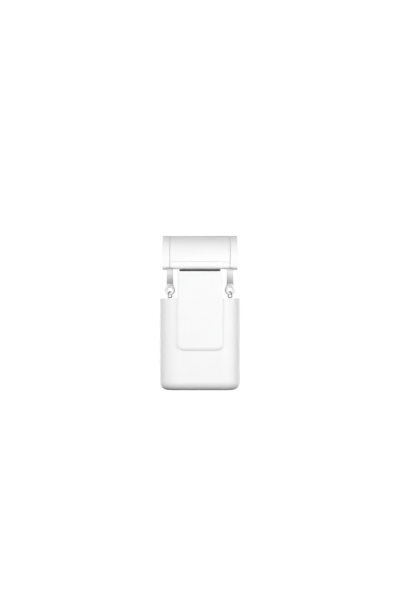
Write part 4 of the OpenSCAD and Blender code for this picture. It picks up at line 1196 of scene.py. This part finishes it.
@dataclass
class Screws:
    """One set of pan-head screws with a cross recess, all of one size."""

    node: str
    axis: Axis
    finish: Finish
    seed: int
    head_d: float = 3.8
    head_h: float = 1.2
    shank_d: float = 1.9
    recess_w: float = 0.55
    recess_span: float = 2.3
    recess_depth: float = 0.7
    recess_floor: float = 0.55
    recess_mouth: float = 1.15
    recess_over: float = 0.4
    crown: float = 0.45
    rim_r: float = 0.12
    neck_r: float = 0.1
    tip_r: float = 0.4
    turned_steps: int = 28

    def build(self, bench: Bench) -> None:
        """Makes the set where the node's solids are.

        Args:
            bench: Where the pieces are set.
        """
        places = []
        ways = []
        boxes = Mesher.islands(self.node)
        length = (boxes[0][1] - boxes[0][0])[self.axis.value] / MM - self.head_h
        for low, high in boxes:
            middle = (low + high) / 2
            sign = -1.0 if self.axis is Axis.X and middle.x < 0 else 1.0
            top = high[self.axis.value] if sign > 0 else low[self.axis.value]
            spot = middle.copy()
            spot[self.axis.value] = top - sign * self.head_h * MM
            places.append(spot)
            ways.append(self.axis.unit() * sign)
        name = self.node + "_cross"
        mesh = Patterns.screws(places, ways, self._screw(length), self.seed, self.finish, name)
        bench.place(mesh, name, self.finish, bench.body_of[self.node], [self.node])

    def _screw(self, length: float) -> bpy.types.Mesh:
        """Models one screw, its head along Z and resting at the origin.

        Args:
            length: The shank's length in millimetres.

        Returns:
            The screw's mesh.
        """
        head = self.head_d / 2
        shank = self.shank_d / 2
        profile = Mesher.filleted([
            (0.0, self.head_h, 0.0), (head, self.head_h, head * self.crown), (head, 0.0, self.rim_r),
            (shank, 0.0, self.neck_r), (shank, -length, self.tip_r), (0.0, -length, 0.0),
        ])
        body = Mesher.revolved(profile, Vector(), Axis.Z, "screw_turned", self.turned_steps)
        holder = bpy.data.objects.new("screw_turned", body)
        bpy.context.scene.collection.objects.link(holder)
        cutter = bpy.data.objects.new("screw_recess", self._recess())
        bpy.context.scene.collection.objects.link(cutter)
        cut = holder.modifiers.new("recess", "BOOLEAN")
        cut.operation = "DIFFERENCE"
        cut.solver = "EXACT"
        cut.object = cutter
        mesh = Mesher.settle(holder, "screw_cut")
        source = cutter.data
        bpy.data.objects.remove(cutter)
        bpy.data.meshes.remove(source)
        return Mesher.renewed(mesh, "screw_cross")

    def _recess(self) -> bpy.types.Mesh:
        """Models the cross that is cut out of the head, narrower towards its floor.

        Returns:
            The cross's mesh.
        """
        outlines = []
        ends = ((self.recess_depth, self.recess_floor), (-self.recess_over, self.recess_mouth))
        for depth, share in ends:
            arm = self.recess_span / 2 * share
            half = self.recess_w / 2 * share
            corners = []
            for quarter in range(4):
                turn = Matrix.Rotation(quarter * QUARTER_TURN, 3, "Z")
                for x, y in ((half, half), (half, arm), (-half, arm)):
                    corners.append(turn @ Vector((x, y, self.head_h - depth)) * MM)
            outlines.append(corners)
        return Mesher.stacked(outlines, "recess")


@dataclass
class CaseBody:
    """The cup-shaped case, the cover with its turret, and the cover's screws."""

    shell_edge: float = 0.2
    cover_edge: float = 0.3

    def build(self, bench: Bench) -> None:
        """Softens the mouldings and sets the screws.

        Args:
            bench: Where the pieces are set.
        """
        bench.soften("case_shell", WHITE_CASE, self.shell_edge)
        bench.soften("top_cover", WHITE_CASE, self.cover_edge)
        Screws("cover_screws", Axis.Z, STEEL_Z, seed=3).build(bench)
        Screws("frame_screws", Axis.Z, STEEL_Z, seed=5).build(bench)


@dataclass
class FrontPanel:
    """The raised plate on the front, with a soft bevel all round."""

    lower_r: float = 5.6
    upper_r: float = 0.7
    bevel_w: float = 2.2
    bevel_h: float = 0.6
    back_in: float = 0.25
    back_r: float = 0.2
    side_r: float = 0.3
    face_r: float = 0.7
    face_in: float = 1.2
    profile_steps: int = 5
    corner_steps: int = 10

    def build(self, bench: Bench) -> None:
        """Stacks the panel's outlines from its back to its face.

        Args:
            bench: Where the pieces are set.
        """
        low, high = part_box("front_panel")
        depth = (high.y - low.y) / MM
        profile = Mesher.filleted([
            (self.back_in, 0.0, 0.0), (0.0, 0.0, self.back_r), (0.0, depth - self.bevel_h, self.side_r),
            (self.bevel_w, depth, self.face_r), (self.bevel_w + self.face_in, depth, 0.0),
        ], self.profile_steps)
        outlines = [self._outline(low, high, inset, rise) for inset, rise in profile]
        mesh = Mesher.stacked(outlines, "front_panel_plate")
        bench.place(mesh, "front_panel_plate", WHITE_PANEL, bench.body_of["front_panel"], ["front_panel"])

    def _outline(self, low: Vector, high: Vector, inset: float, rise: float) -> list[Vector]:
        """Draws the panel's outline at one height over its back.

        Args:
            low: Lowest corner of the panel.
            high: Highest corner of the panel.
            inset: How far the outline is drawn in, in millimetres.
            rise: Height over the back, in millimetres.

        Returns:
            The outline's points.
        """
        y = high.y - rise * MM
        lower = (self.lower_r - inset) * MM
        upper = self.upper_r * MM
        left = low.x + inset * MM
        right = high.x - inset * MM
        top = high.z - inset * MM
        foot = low.z + inset * MM
        corners = [
            (right - upper, top - upper, upper, 0), (left + upper, top - upper, upper, 1),
            (left + lower, foot + lower, lower, 2), (right - lower, foot + lower, lower, 3),
        ]
        points = []
        for x, z, radius, quarter in corners:
            for step in range(self.corner_steps + 1):
                turn = (quarter + step / self.corner_steps) * QUARTER_TURN
                points.append(Vector((x + radius * math.cos(turn), y, z + radius * math.sin(turn))))
        return points


@dataclass
class Hook:
    """The hook over the rod: saddle cover, end caps, the dark arch and slide under them, and screws."""

    cover_edge: float = 0.25
    cap_edge: float = 0.3
    arm_edge: float = 0.2

    def build(self, bench: Bench) -> None:
        """Softens the mouldings and sets the screws.

        Args:
            bench: Where the pieces are set.
        """
        bench.soften("saddle_cover", WHITE_HOOK, self.cover_edge, hollows=False)
        for side in Side:
            bench.soften("end_cap_" + side.word, WHITE_HOOK, self.cap_edge, hollows=False)
        bench.soften("clamp_arm", DARK_NYLON, self.arm_edge)
        Screws("cap_screws", Axis.X, STEEL_X, seed=7, head_d=4.0, head_h=1.3).build(bench)


@dataclass
class Hangers:
    """The link, ring and bent wire on each side of the neck."""

    strap_edge: float = 0.16
    ring_edge: float = 0.15
    wire_d: float = 1.0
    wire_drawn_d: float = 0.9
    wire_foot: float = 2.9
    wire_drop: float = 3.3
    wire_corner_r: float = 0.8
    ring_bar_d: float = 2.6
    ring_gap: float = 0.3
    wire_turn: float = 36.0
    top_steps: int = 24
    corner_steps: int = 8

    def build(self, bench: Bench) -> None:
        """Builds both sides.

        Args:
            bench: Where the pieces are set.
        """
        for side in Side:
            # Painted shade: the link's finish darkens its tone towards its lower end.
            bench.soften("hanger_" + side.word, GREY_LINK, self.strap_edge)
            bench.soften("eyelet_" + side.word, WHITE_RING, self.ring_edge)
            bench.keep("hanger_pin_" + side.word, STEEL_X)
            self._wire(bench, side)

    def _wire(self, bench: Bench, side: Side) -> None:
        """Bends one wire link: a round top, splayed legs and a straight foot.

        Args:
            bench: Where the pieces are set.
            side: The side.
        """
        node = "wire_link_" + side.word
        low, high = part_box(node)
        top_r = self.ring_bar_d / 2 + self.ring_gap + self.wire_d / 2
        pivot = (low + high) / 2
        pivot.z = high.z - (top_r + self.wire_d / 2) * MM
        turn = Matrix.Rotation(math.radians(self.wire_turn * side.value), 3, "Z")
        path = [pivot + turn @ Vector((0.0, y, z)) * MM for y, z in self._path(top_r)]
        mesh = Patterns.wire(path, self.wire_drawn_d, True, LINK_WIRE, node + "_round")
        bench.place(mesh, node + "_round", LINK_WIRE, bench.body_of[node], [node])

    def _path(self, top_r: float) -> list[Point2]:
        """Draws the wire's middle line about the ring's lower bar.

        Args:
            top_r: Radius of the round top in millimetres.

        Returns:
            The points, in Y and Z.
        """
        foot_y = self.wire_foot - self.wire_corner_r
        foot_z = -self.wire_drop + self.wire_corner_r
        reach = math.hypot(foot_y, foot_z)
        lean = math.atan2(foot_z, foot_y) + math.acos((top_r - self.wire_corner_r) / reach)
        bend = self.wire_corner_r
        points = self._arc(0.0, 0.0, top_r, lean, math.pi - lean, self.top_steps)
        points += self._arc(-foot_y, foot_z, bend, math.pi - lean, 3 * QUARTER_TURN, self.corner_steps)
        points += self._arc(foot_y, foot_z, bend, -QUARTER_TURN, lean, self.corner_steps)
        return points

    @staticmethod
    def _arc(y: float, z: float, radius: float, start: float, end: float, steps: int) -> list[Point2]:
        """Draws an arc.

        Args:
            y: Y of its centre.
            z: Z of its centre.
            radius: Its radius.
            start: The angle where it starts.
            end: The angle where it ends.
            steps: Its steps.

        Returns:
            The points.
        """
        angles = [start + (end - start) * k / steps for k in range(steps + 1)]
        return [(y + radius * math.cos(a), z + radius * math.sin(a)) for a in angles]


@dataclass
class ClampSprings:
    """The two springs that pull the hook down, with closed coils at both ends."""

    joint: str = "clamp_slide"
    travel: float = 14.0
    wire_d: float = 0.6
    curls: int = 10
    closed_curls: int = 1
    steps: int = 20

    def build(self, bench: Bench) -> None:
        """Winds both springs and sets each on the body of its node.

        Args:
            bench: Where the pieces are set.
        """
        for side in Side:
            node = "clamp_spring_" + side.word
            low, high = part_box(node)
            mesh = Patterns.wire(self._path(low, high), self.wire_d, False, STEEL_Z, node + "_wound")
            piece = bench.place(mesh, node + "_wound", STEEL_Z, bench.body_of[node], [node])
            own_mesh(piece)

    def _path(self, low: Vector, high: Vector) -> list[Vector]:
        """Draws the wire's middle line: a closed coil, the working coils, and a closed coil.

        Args:
            low: Lowest corner of the spring.
            high: Highest corner of the spring.

        Returns:
            The points.
        """
        middle = (low + high) / 2
        radius = (high.x - low.x) / 2 - self.wire_d * MM / 2
        ends = self.closed_curls * self.wire_d * MM
        foot = low.z + self.wire_d * MM / 2
        rise = high.z - low.z - self.wire_d * MM - 2 * ends
        turns = self.curls + 2 * self.closed_curls
        points = []
        for step in range(turns * self.steps + 1):
            turn = step / self.steps
            start = min(turn / self.closed_curls, 1.0)
            work = min(max((turn - self.closed_curls) / self.curls, 0.0), 1.0)
            finish = max((turn - self.closed_curls - self.curls) / self.closed_curls, 0.0)
            z = foot + ends * (start + finish) + rise * work
            angle = 2 * math.pi * turn
            x = middle.x + radius * math.cos(angle)
            y = middle.y + radius * math.sin(angle)
            points.append(Vector((x, y, z)))
        return points


@dataclass
class Waisted:
    """A wheel or roller whose tread is hollowed to fit the rod."""

    waist_r: float
    rim: float
    groove_r: float = 11.4

    def surface(self, y: float) -> float:
        """The tread's radius at a distance from its middle, in millimetres."""
        hollow = self.waist_r + self.groove_r - math.sqrt(self.groove_r ** 2 - y * y)
        return min(hollow, self.waist_r + self.rim)


@dataclass
class DriveWheel(Waisted):
    """The drive wheel under the rod: ribbed tyre, spoked hub, axle and gear."""

    waist_r: float = 15.0
    rim: float = 1.9
    bore_r: float = 12.02
    bore_round: float = 0.2
    side_round: float = 0.5
    core_steps: int = 8
    turned_steps: int = 96
    rib_count: int = 48
    rib_h: float = 0.45
    rib_w: float = 1.15
    rib_in: float = 0.35
    rib_fall: float = 0.3
    rib_root: float = 0.3
    rib_chamfer: Point2 = (0.18, 0.15)
    rib_steps: int = 6
    hub_edge: float = 0.25
    tooth_edge: float = 0.06
    spoke_count: int = 6
    spoke_t: float = 1.4
    spoke_round: float = 0.3
    spoke_steps: int = 3
    spoke_sections: tuple[Point2, ...] = ((4.6, 5.6), (5.4, 5.4), (9.2, 4.6), (9.9, 4.8))

    def build(self, bench: Bench) -> None:
        """Builds the tyre, its ribs, the hub and its spokes.

        Args:
            bench: Where the pieces are set.
        """
        low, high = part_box("wheel_tyre")
        centre = (low + high) / 2
        half = (high.y - low.y) / 2 / MM
        body = bench.body_of["wheel_tyre"]
        profile = self._core(half)
        core = Mesher.revolved(profile, centre, Axis.Y, "tyre_core", self.turned_steps, closed=True)
        bench.place(core, "wheel_tyre_core", ROLLER_RUBBER, body, ["wheel_tyre"])
        ribs = Patterns.ring(self._rib(half), self.rib_count, centre, Axis.Y, ROLLER_RUBBER, "tyre_ribs")
        bench.place(ribs, "wheel_tyre_ribs", ROLLER_RUBBER, body)
        bench.soften("wheel_hub", HUB_PLASTIC, self.hub_edge)
        spokes = Patterns.ring(self._spoke(), self.spoke_count, centre, Axis.Y, HUB_PLASTIC, "hub_spokes")
        bench.place(spokes, "wheel_hub_spokes", HUB_PLASTIC, body)
        bench.keep("wheel_axle", STEEL_Y)
        bench.soften("wheel_gear", GEAR_ACETAL, self.tooth_edge, segments=1)

    def _core(self, half: float) -> list[Point2]:
        """Draws the profile under the ribs.

        Args:
            half: Half the tyre's width in millimetres.

        Returns:
            Radius and height of each point.
        """
        stations = [half * k / self.core_steps for k in range(1 - self.core_steps, self.core_steps)]
        outer = [(self.surface(y) - self.rib_h, y, 0.0) for y in stations]
        side_r = self.waist_r + self.rim - self.rib_h
        corners = [
            (self.bore_r, -half, self.bore_round), (side_r, -half, self.side_round), *outer,
            (side_r, half, self.side_round), (self.bore_r, half, self.bore_round),
        ]
        return Mesher.filleted(corners, closed=True)

    def _rib(self, half: float) -> bpy.types.Mesh:
        """Models one rib across the tread, about the wheel's middle.

        Args:
            half: Half the tyre's width in millimetres.

        Returns:
            The rib's mesh.
        """
        outlines = []
        reach = half - self.rib_in
        wide = self.rib_w / 2
        in_x, in_z = self.rib_chamfer
        for k in range(-self.rib_steps, self.rib_steps + 1):
            y = reach * k / self.rib_steps
            fall = self.rib_fall if abs(k) == self.rib_steps else 0.0
            top = self.surface(y) - fall
            foot = self.surface(y) - self.rib_h - self.rib_root
            section = [(-wide, foot), (-wide, top - in_z), (-wide + in_x, top), (wide - in_x, top),
                       (wide, top - in_z), (wide, foot)]
            outlines.append([Vector((x, y, z)) * MM for x, z in section])
        return Mesher.stacked(outlines, "tyre_rib")

    def _spoke(self) -> bpy.types.Mesh:
        """Models one stiffening rib between the hub's core and its rim, on both sides of the web.

        Returns:
            The rib's mesh.
        """
        wide = self.spoke_t / 2
        outlines = []
        bend = self.spoke_round
        for z, deep in self.spoke_sections:
            corners = Mesher.filleted([
                (-wide, -deep, bend), (wide, -deep, bend), (wide, deep, bend), (-wide, deep, bend),
            ], self.spoke_steps, closed=True)
            outlines.append([Vector((x, y, z)) * MM for x, y in corners])
        return Mesher.stacked(outlines, "hub_spoke")


@dataclass
class IdlerRollers(Waisted):
    """The two rollers on top of the rod, and their axles."""

    waist_r: float = 4.3
    rim: float = 1.3
    bore_r: float = 1.55
    bore_round: float = 0.2
    side_round: float = 0.3
    tread_share: float = 0.93
    tread_steps: int = 10
    groove_steps: tuple[int, ...] = (-5, 0, 5)
    groove_depth: float = 0.25

    def build(self, bench: Bench) -> None:
        """Turns both rollers.

        Args:
            bench: Where the pieces are set.
        """
        for side in Side:
            node = "idler_roller_" + side.word
            low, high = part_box(node)
            half = (high.y - low.y) / 2 / MM
            name = node + "_turned"
            mesh = Mesher.revolved(self._profile(half), (low + high) / 2, Axis.Y, name, closed=True)
            bench.place(mesh, name, ROLLER_RUBBER, bench.body_of[node], [node])
            bench.keep("idler_axle_" + side.word, STEEL_Y)

    def _profile(self, half: float) -> list[Point2]:
        """Draws a waisted roller with three shallow grooves.

        Args:
            half: Half the roller's width in millimetres.

        Returns:
            Radius and height of each point.
        """
        outer = []
        for k in range(-self.tread_steps, self.tread_steps + 1):
            y = half * self.tread_share * k / self.tread_steps
            cut = self.groove_depth if k in self.groove_steps else 0.0
            outer.append((self.surface(y) - cut, y, 0.0))
        top = self.waist_r + self.rim
        corners = [
            (self.bore_r, -half, self.bore_round), (top, -half, self.side_round), *outer,
            (top, half, self.side_round), (self.bore_r, half, self.bore_round),
        ]
        return Mesher.filleted(corners, closed=True)


@dataclass
class GearTrain:
    """The drive frame, its bearings, the gears, their cover and the motor."""

    frame_edge: float = 0.2
    tooth_edge: float = 0.06
    bearing_edge: float = 0.12
    can_nose_r: float = 4.0
    can_nose_h: float = 0.5
    nose_rounds: Point2 = (0.25, 0.15)
    shoulder_round: float = 1.2
    seam_in: float = 0.25
    seam_round: float = 0.1
    seam_steps: tuple[float, ...] = (2.2, 2.0, 1.5, 1.3)
    end_round: float = 0.2
    can_steps: int = 96

    def build(self, bench: Bench) -> None:
        """Softens the mouldings, turns the motor, and sets the screws.

        Args:
            bench: Where the pieces are set.
        """
        bench.soften("drive_frame", DARK_NYLON, self.frame_edge)
        bench.soften("gear_cover", DARK_NYLON, self.tooth_edge)
        bench.soften("motor_gearbox", DARK_NYLON, self.frame_edge)
        bench.soften("compound_gear", GEAR_ACETAL, self.tooth_edge, segments=1)
        bench.soften("motor_pinion", PINION_BRASS, self.tooth_edge, segments=1)
        bench.soften("bearing_front", BRONZE, self.bearing_edge)
        bench.soften("bearing_rear", BRONZE, self.bearing_edge)
        bench.keep("compound_pin", STEEL_Y)
        self._can(bench)
        Screws("gear_screws", Axis.Y, STEEL_Y, seed=11).build(bench)
        Screws("motor_screws", Axis.Y, STEEL_Y, seed=13).build(bench)

    def _can(self, bench: Bench) -> None:
        """Draws the motor's can: a deep-drawn cup with a nose and a rolled seam.

        Args:
            bench: Where the pieces are set.
        """
        low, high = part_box("motor_can")
        radius = (high.x - low.x) / 2 / MM
        length = (high.y - low.y) / MM
        centre = (low + high) / 2
        centre.y = low.y
        waist = radius - self.seam_in
        tip_round, root_round = self.nose_rounds
        widths = (radius, waist, waist, radius)
        seam = [(wide, length - down, self.seam_round) for wide, down in zip(widths, self.seam_steps)]
        profile = Mesher.filleted([
            (0.0, 0.0, 0.0), (self.can_nose_r, 0.0, tip_round),
            (self.can_nose_r, self.can_nose_h, root_round), (radius, self.can_nose_h, self.shoulder_round),
            *seam, (radius, length, self.end_round), (0.0, length, 0.0),
        ])
        mesh = Mesher.revolved(profile, centre, Axis.Y, "motor_can_drawn", self.can_steps)
        bench.place(mesh, "motor_can_drawn", STEEL_Y, bench.body_of["motor_can"], ["motor_can"])


@dataclass
class PowerPack:
    """The two cells in their film, the cradle around them and the tabs on top."""

    nub_r: float = 3.0
    nub_h: float = 1.0
    film_lip: float = 2.6
    film_foot: float = 0.15
    film_sink: float = 0.35
    film_edge: float = 0.05
    film_steps: int = 72
    foot_round: float = 0.9
    bead_in: float = 0.35
    bead_round: float = 0.3
    bead_steps: tuple[float, ...] = (3.2, 2.6, 2.0)
    shoulder_round: float = 0.7
    lip_round: float = 0.1
    cap_sink: float = 0.34
    cap_drop: float = 0.1
    cap_in: Point2 = (0.3, 0.5)
    cap_steps: int = 48
    nub_flare: float = 0.4
    nub_rounds: Point2 = (0.2, 0.4)
    cradle_edge: float = 0.12
    tab_edge: float = 0.1

    def build(self, bench: Bench) -> None:
        """Turns the cells and softens the cradle.

        Args:
            bench: Where the pieces are set.
        """
        for side in Side:
            self._cell(bench, side)
        bench.soften("battery_cradle", DARK_NYLON, self.cradle_edge)
        bench.soften("battery_tabs", NICKEL, self.tab_edge, segments=2)

    def _cell(self, bench: Bench, side: Side) -> None:
        """Turns one cell: the film over the can, and the bare cap on top.

        Args:
            bench: Where the pieces are set.
            side: The side.
        """
        node = "battery_" + side.word
        low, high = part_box(node)
        radius = (high.x - low.x) / 2 / MM
        length = (high.z - low.z) / MM
        centre = (low + high) / 2
        centre.z = low.z
        shoulder = length - self.nub_h
        inner = radius - self.film_lip
        sunk = shoulder - self.film_sink
        widths = (radius, radius - self.bead_in, radius)
        bead = [(wide, shoulder - down, self.bead_round) for wide, down in zip(widths, self.bead_steps)]
        film = Mesher.filleted([
            (0.0, self.film_foot, 0.0), (inner, self.film_foot, self.film_edge),
            (inner, 0.0, self.film_edge), (radius, 0.0, self.foot_round), *bead,
            (radius, shoulder, self.shoulder_round), (inner, shoulder, self.lip_round),
            (inner, sunk, self.lip_round), (0.0, sunk, 0.0),
        ])
        body = bench.body_of[node]
        mesh = Mesher.revolved(film, centre, Axis.Z, node + "_film", self.film_steps)
        bench.place(mesh, node + "_film", CELL_WRAP, body, [node])
        floor = shoulder - self.cap_sink
        ledge = shoulder - self.cap_drop
        floor_in, ledge_in = self.cap_in
        root_round, tip_round = self.nub_rounds
        cap = Mesher.filleted([
            (0.0, floor, 0.0), (inner - floor_in, floor, self.lip_round),
            (inner - ledge_in, ledge, self.lip_round), (self.nub_r + self.nub_flare, ledge, root_round),
            (self.nub_r, length, tip_round), (0.0, length, 0.0),
        ])
        mesh = Mesher.revolved(cap, centre, Axis.Z, node + "_cap", self.cap_steps)
        bench.place(mesh, node + "_cap", NICKEL, body)


@dataclass
class Controls:
    """The circuit board with its chips and switch, the charging port, the button and the light pipe."""

    board_edge: float = 0.08
    chip_edge: float = 0.12
    port_edge: float = 0.08
    tongue_t: float = 0.7
    tongue_in: float = 0.6
    contact_count: int = 12
    contact_pitch: float = 0.5
    contact_w: float = 0.26
    contact_len: float = 3.4
    contact_in: float = 0.5
    contact_round: float = 0.06
    contact_root: float = 0.1
    contact_rise: float = 0.04
    contact_steps: int = 2
    button_lip: float = 1.0
    button_gap: float = 0.25
    button_crown: Corner = (0.55, 0.04, 0.4)
    button_rim: Point2 = (0.22, 0.4)
    button_steps: int = 64
    case_floor: float = 2.5
    collar_h: float = 1.0
    collar_round: float = 0.15
    root_round: float = 0.1
    peg_r: float = 1.2
    peg_round: float = 0.3
    pipe_crown: Corner = (0.5, 0.02, 0.3)
    pipe_rim: Point2 = (0.2, 0.3)
    pipe_round: float = 0.1
    pipe_steps: int = 40

    def build(self, bench: Bench) -> None:
        """Builds the board's pieces and what shows on the base.

        Args:
            bench: Where the pieces are set.
        """
        bench.soften("circuit_board", BOARD_GREEN, self.board_edge, segments=2)
        bench.soften("board_chips", CHIP_BLACK, self.chip_edge, segments=2)
        bench.soften("button_switch", CHIP_BLACK, self.chip_edge, segments=2)
        self._port(bench)
        self._button(bench)
        self._pipe(bench)

    def _port(self, bench: Bench) -> None:
        """Builds the port's drawn shell with its tongue, and the contacts on the tongue.

        Args:
            bench: Where the pieces are set.
        """
        bench.soften("usb_port", NICKEL, self.port_edge, segments=2)
        low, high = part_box("usb_port")
        middle = (low + high) / 2
        body = bench.body_of["usb_port"]
        half_w = self.contact_w / 2
        bend = self.contact_round
        corners = Mesher.filleted([
            (-half_w, 0.0, bend), (half_w, 0.0, bend), (half_w, self.contact_len, bend),
            (-half_w, self.contact_len, bend),
        ], self.contact_steps, closed=True)
        heights = (-self.contact_root, self.contact_rise)
        for sign, word in ((-1, "front"), (1, "rear")):
            outlines = [[Vector((x, sign * y, z)) * MM for x, z in corners] for y in heights]
            contact = Mesher.stacked(outlines, "contact")
            first = Vector((
                middle.x - (self.contact_count - 1) / 2 * self.contact_pitch * MM,
                middle.y + sign * self.tongue_t / 2 * MM,
                low.z + (self.tongue_in + self.contact_in) * MM,
            ))
            step = Vector((self.contact_pitch * MM, 0.0, 0.0))
            name = "port_contacts_" + word
            mesh = Patterns.row(contact, self.contact_count, first, step, PINION_BRASS, name)
            bench.place(mesh, name, PINION_BRASS, body)

    def _button(self, bench: Bench) -> None:
        """Turns the button: a crowned face, its collar and its peg.

        Args:
            bench: Where the pieces are set.
        """
        low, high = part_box("function_button")
        centre = (low + high) / 2
        centre.z = low.z
        lip_r = (high.x - low.x) / 2 / MM
        radius = lip_r - self.button_lip
        length = (high.z - low.z) / MM
        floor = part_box("case_shell")[0].z
        collar = (floor - low.z) / MM + self.case_floor + self.button_gap
        collar_top = collar + self.collar_h
        profile = Mesher.filleted([
            *self._crown(radius, self.button_crown, self.button_rim), (radius, collar, self.root_round),
            (lip_r, collar, self.collar_round), (lip_r, collar_top, self.collar_round),
            (self.peg_r, collar_top, self.root_round), (self.peg_r, length, self.peg_round),
            (0.0, length, 0.0),
        ])
        mesh = Mesher.revolved(profile, centre, Axis.Z, "function_button_crowned", self.button_steps)
        body = bench.body_of["function_button"]
        bench.place(mesh, "function_button_crowned", WHITE_HOOK, body, ["function_button"])

    def _pipe(self, bench: Bench) -> None:
        """Turns the light pipe, with a domed end.

        Args:
            bench: Where the pieces are set.
        """
        low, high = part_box("light_pipe")
        centre = (low + high) / 2
        centre.z = low.z
        radius = (high.x - low.x) / 2 / MM
        length = (high.z - low.z) / MM
        profile = Mesher.filleted([
            *self._crown(radius, self.pipe_crown, self.pipe_rim), (radius, length, self.pipe_round),
            (0.0, length, 0.0),
        ])
        mesh = Mesher.revolved(profile, centre, Axis.Z, "light_pipe_frosted", self.pipe_steps)
        bench.place(mesh, "light_pipe_frosted", CLEAR, bench.body_of["light_pipe"], ["light_pipe"])

    @staticmethod
    def _crown(radius: float, crown: Corner, rim: Point2) -> list[Corner]:
        """Draws the domed end of a turned piece.

        Args:
            radius: The piece's radius in millimetres.
            crown: Share of the radius, height and rounding where the dome starts to fall.
            rim: Height and rounding at the full radius.

        Returns:
            The corners, from the middle outwards.
        """
        share, height, bend = crown
        return [(0.0, 0.0, 0.0), (radius * share, height, bend), (radius, *rim)]


@dataclass(frozen=True)
class Lamp:
    """A soft area light, placed by its direction from the robot."""

    name: str
    azimuth: float
    elevation: float
    level: float
    size: float = 1.3
    distance: float = 1.6

    def build(self, aim: Vector) -> None:
        """Makes the light.

        Args:
            aim: The point that it faces.
        """
        a = math.radians(self.azimuth)
        e = math.radians(self.elevation)
        back = Vector((math.sin(a) * math.cos(e), -math.cos(a) * math.cos(e), math.sin(e)))
        light = bpy.data.lights.new(self.name, "AREA")
        light.shape = "DISK"
        light.size = self.size
        light.energy = self.level * math.pi ** 2 * self.distance ** 2
        obj = bpy.data.objects.new(self.name, light)
        obj.location = aim + back * self.distance
        obj.rotation_euler = (-back).to_track_quat("-Z", "Y").to_euler()
        obj.visible_camera = False
        bpy.context.scene.collection.objects.link(obj)


@dataclass
class Studio:
    """The camera, the soft lights, the pale floor and the white surroundings."""

    lens: float = 135.0
    sensor: float = 36.0
    sight: float = 50.0
    camera: Corner = (0.00049, -2.108, -0.03484)
    aim: Corner = (0.0, 0.0, -0.045)
    floor_z: float = -1.1
    floor_reach: float = 6.0
    floor_sides: int = 128
    floor_fade: Point2 = (2.0, 5.8)
    floor_glow: Point2 = (0.72, 1.1)
    ambient: float = 0.0
    backdrop: float = 1.02
    lamps: tuple[Lamp, ...] = (
        Lamp("front_right", 20.0, 4.5, 0.485),
        Lamp("front_left", -25.0, 4.5, 0.217),
        Lamp("high_left", -40.0, 25.0, 0.34),
        Lamp("side_right", 65.0, 4.5, 0.475),
        Lamp("side_left", -75.0, 4.5, 0.3),
        Lamp("overhead", 0.0, 75.0, 0.02),
        Lamp("rear_right", 150.0, 0.0, 0.35),
        Lamp("rear_left", -150.0, 0.0, 0.35),
        Lamp("rear_high", 180.0, 45.0, 0.15),
    )

    def build(self) -> None:
        """Sets up everything around the robot."""
        self._camera()
        self._world()
        self._floor()
        for lamp in self.lamps:
            lamp.build(Vector(self.aim))
        bpy.context.scene.view_settings.view_transform = "Standard"
        LOG.info("studio: %d lamps", len(self.lamps))

    def _camera(self) -> None:
        """Sets the camera level, straight in front."""
        camera = bpy.data.cameras.new("camera")
        camera.lens = self.lens
        camera.sensor_width = self.sensor
        camera.clip_end = self.sight
        obj = bpy.data.objects.new("camera", camera)
        obj.location = self.camera
        obj.rotation_euler = (QUARTER_TURN, 0.0, 0.0)
        bpy.context.scene.collection.objects.link(obj)
        bpy.context.scene.camera = obj

    def _world(self) -> None:
        """Makes surroundings that the camera sees as white and that cast no light of their own."""
        world = bpy.data.worlds.new("surroundings")
        world.use_nodes = True
        tree = Tree(world.node_tree)
        dim = world.node_tree.nodes["Background"]
        bright = tree.add("ShaderNodeBackground")
        for shine, strength in ((dim, self.ambient), (bright, self.backdrop)):
            tree.fill(shine, {"Color": PURE_WHITE, "Strength": strength})
        seen = tree.add("ShaderNodeLightPath")
        mix = tree.add("ShaderNodeMixShader")
        tree.join(seen.outputs["Is Camera Ray"], mix.inputs["Fac"])
        tree.join(dim.outputs["Background"], mix.inputs[1])
        tree.join(bright.outputs["Background"], mix.inputs[2])
        tree.join(mix.outputs["Shader"], world.node_tree.nodes["World Output"].inputs["Surface"])
        bpy.context.scene.world = world

    def _floor(self) -> None:
        """Lays a round pale floor, well below the hanging robot."""
        disc = bmesh.new()
        bmesh.ops.create_circle(disc, cap_ends=True, segments=self.floor_sides, radius=self.floor_reach,
                                matrix=Matrix.Translation((0.0, 0.0, self.floor_z)))
        mesh = bpy.data.meshes.new("floor")
        disc.to_mesh(mesh)
        disc.free()
        mesh.materials.append(self._floor_paint())
        obj = bpy.data.objects.new("floor", mesh)
        obj.visible_diffuse = False
        obj.visible_glossy = False
        bpy.context.scene.collection.objects.link(obj)

    def _floor_paint(self) -> bpy.types.Material:
        """Paints the floor so that it pales into the white surroundings towards its rim.

        Returns:
            The floor's material.
        """
        material = FLOOR_PAINT.material()
        tree = Tree(material.node_tree)
        away = tree.add("ShaderNodeVectorMath", operation="DISTANCE")
        away.inputs[1].default_value = (0.0, 0.0, self.floor_z)
        tree.join(tree.add("ShaderNodeTexCoord").outputs["Object"], away.inputs[0])
        level = tree.add("ShaderNodeMapRange", interpolation_type="SMOOTHSTEP")
        near, far = self.floor_fade
        grey, white = self.floor_glow
        tree.fill(level, {"From Min": near, "From Max": far, "To Min": grey, "To Max": white})
        tree.join(away.outputs["Value"], level.inputs["Value"])
        shader = material.node_tree.nodes["Principled BSDF"]
        tree.join(level.outputs["Result"], shader.inputs["Emission Color"])
        return material


def main() -> None:
    """Loads the frame, sets up the studio and builds every assembly."""
    logging.basicConfig(level=logging.INFO, format="%(name)s: %(message)s")
    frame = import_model()
    Studio().build()
    bench = Bench(frame)
    assemblies = (CaseBody(), FrontPanel(), Hook(), Hangers(), ClampSprings(), DriveWheel(), IdlerRollers(),
                  GearTrain(), PowerPack(), Controls())
    for assembly in assemblies:
        assembly.build(bench)
        LOG.info("%s done", type(assembly).__name__)


if __name__ == "__main__":
    main()
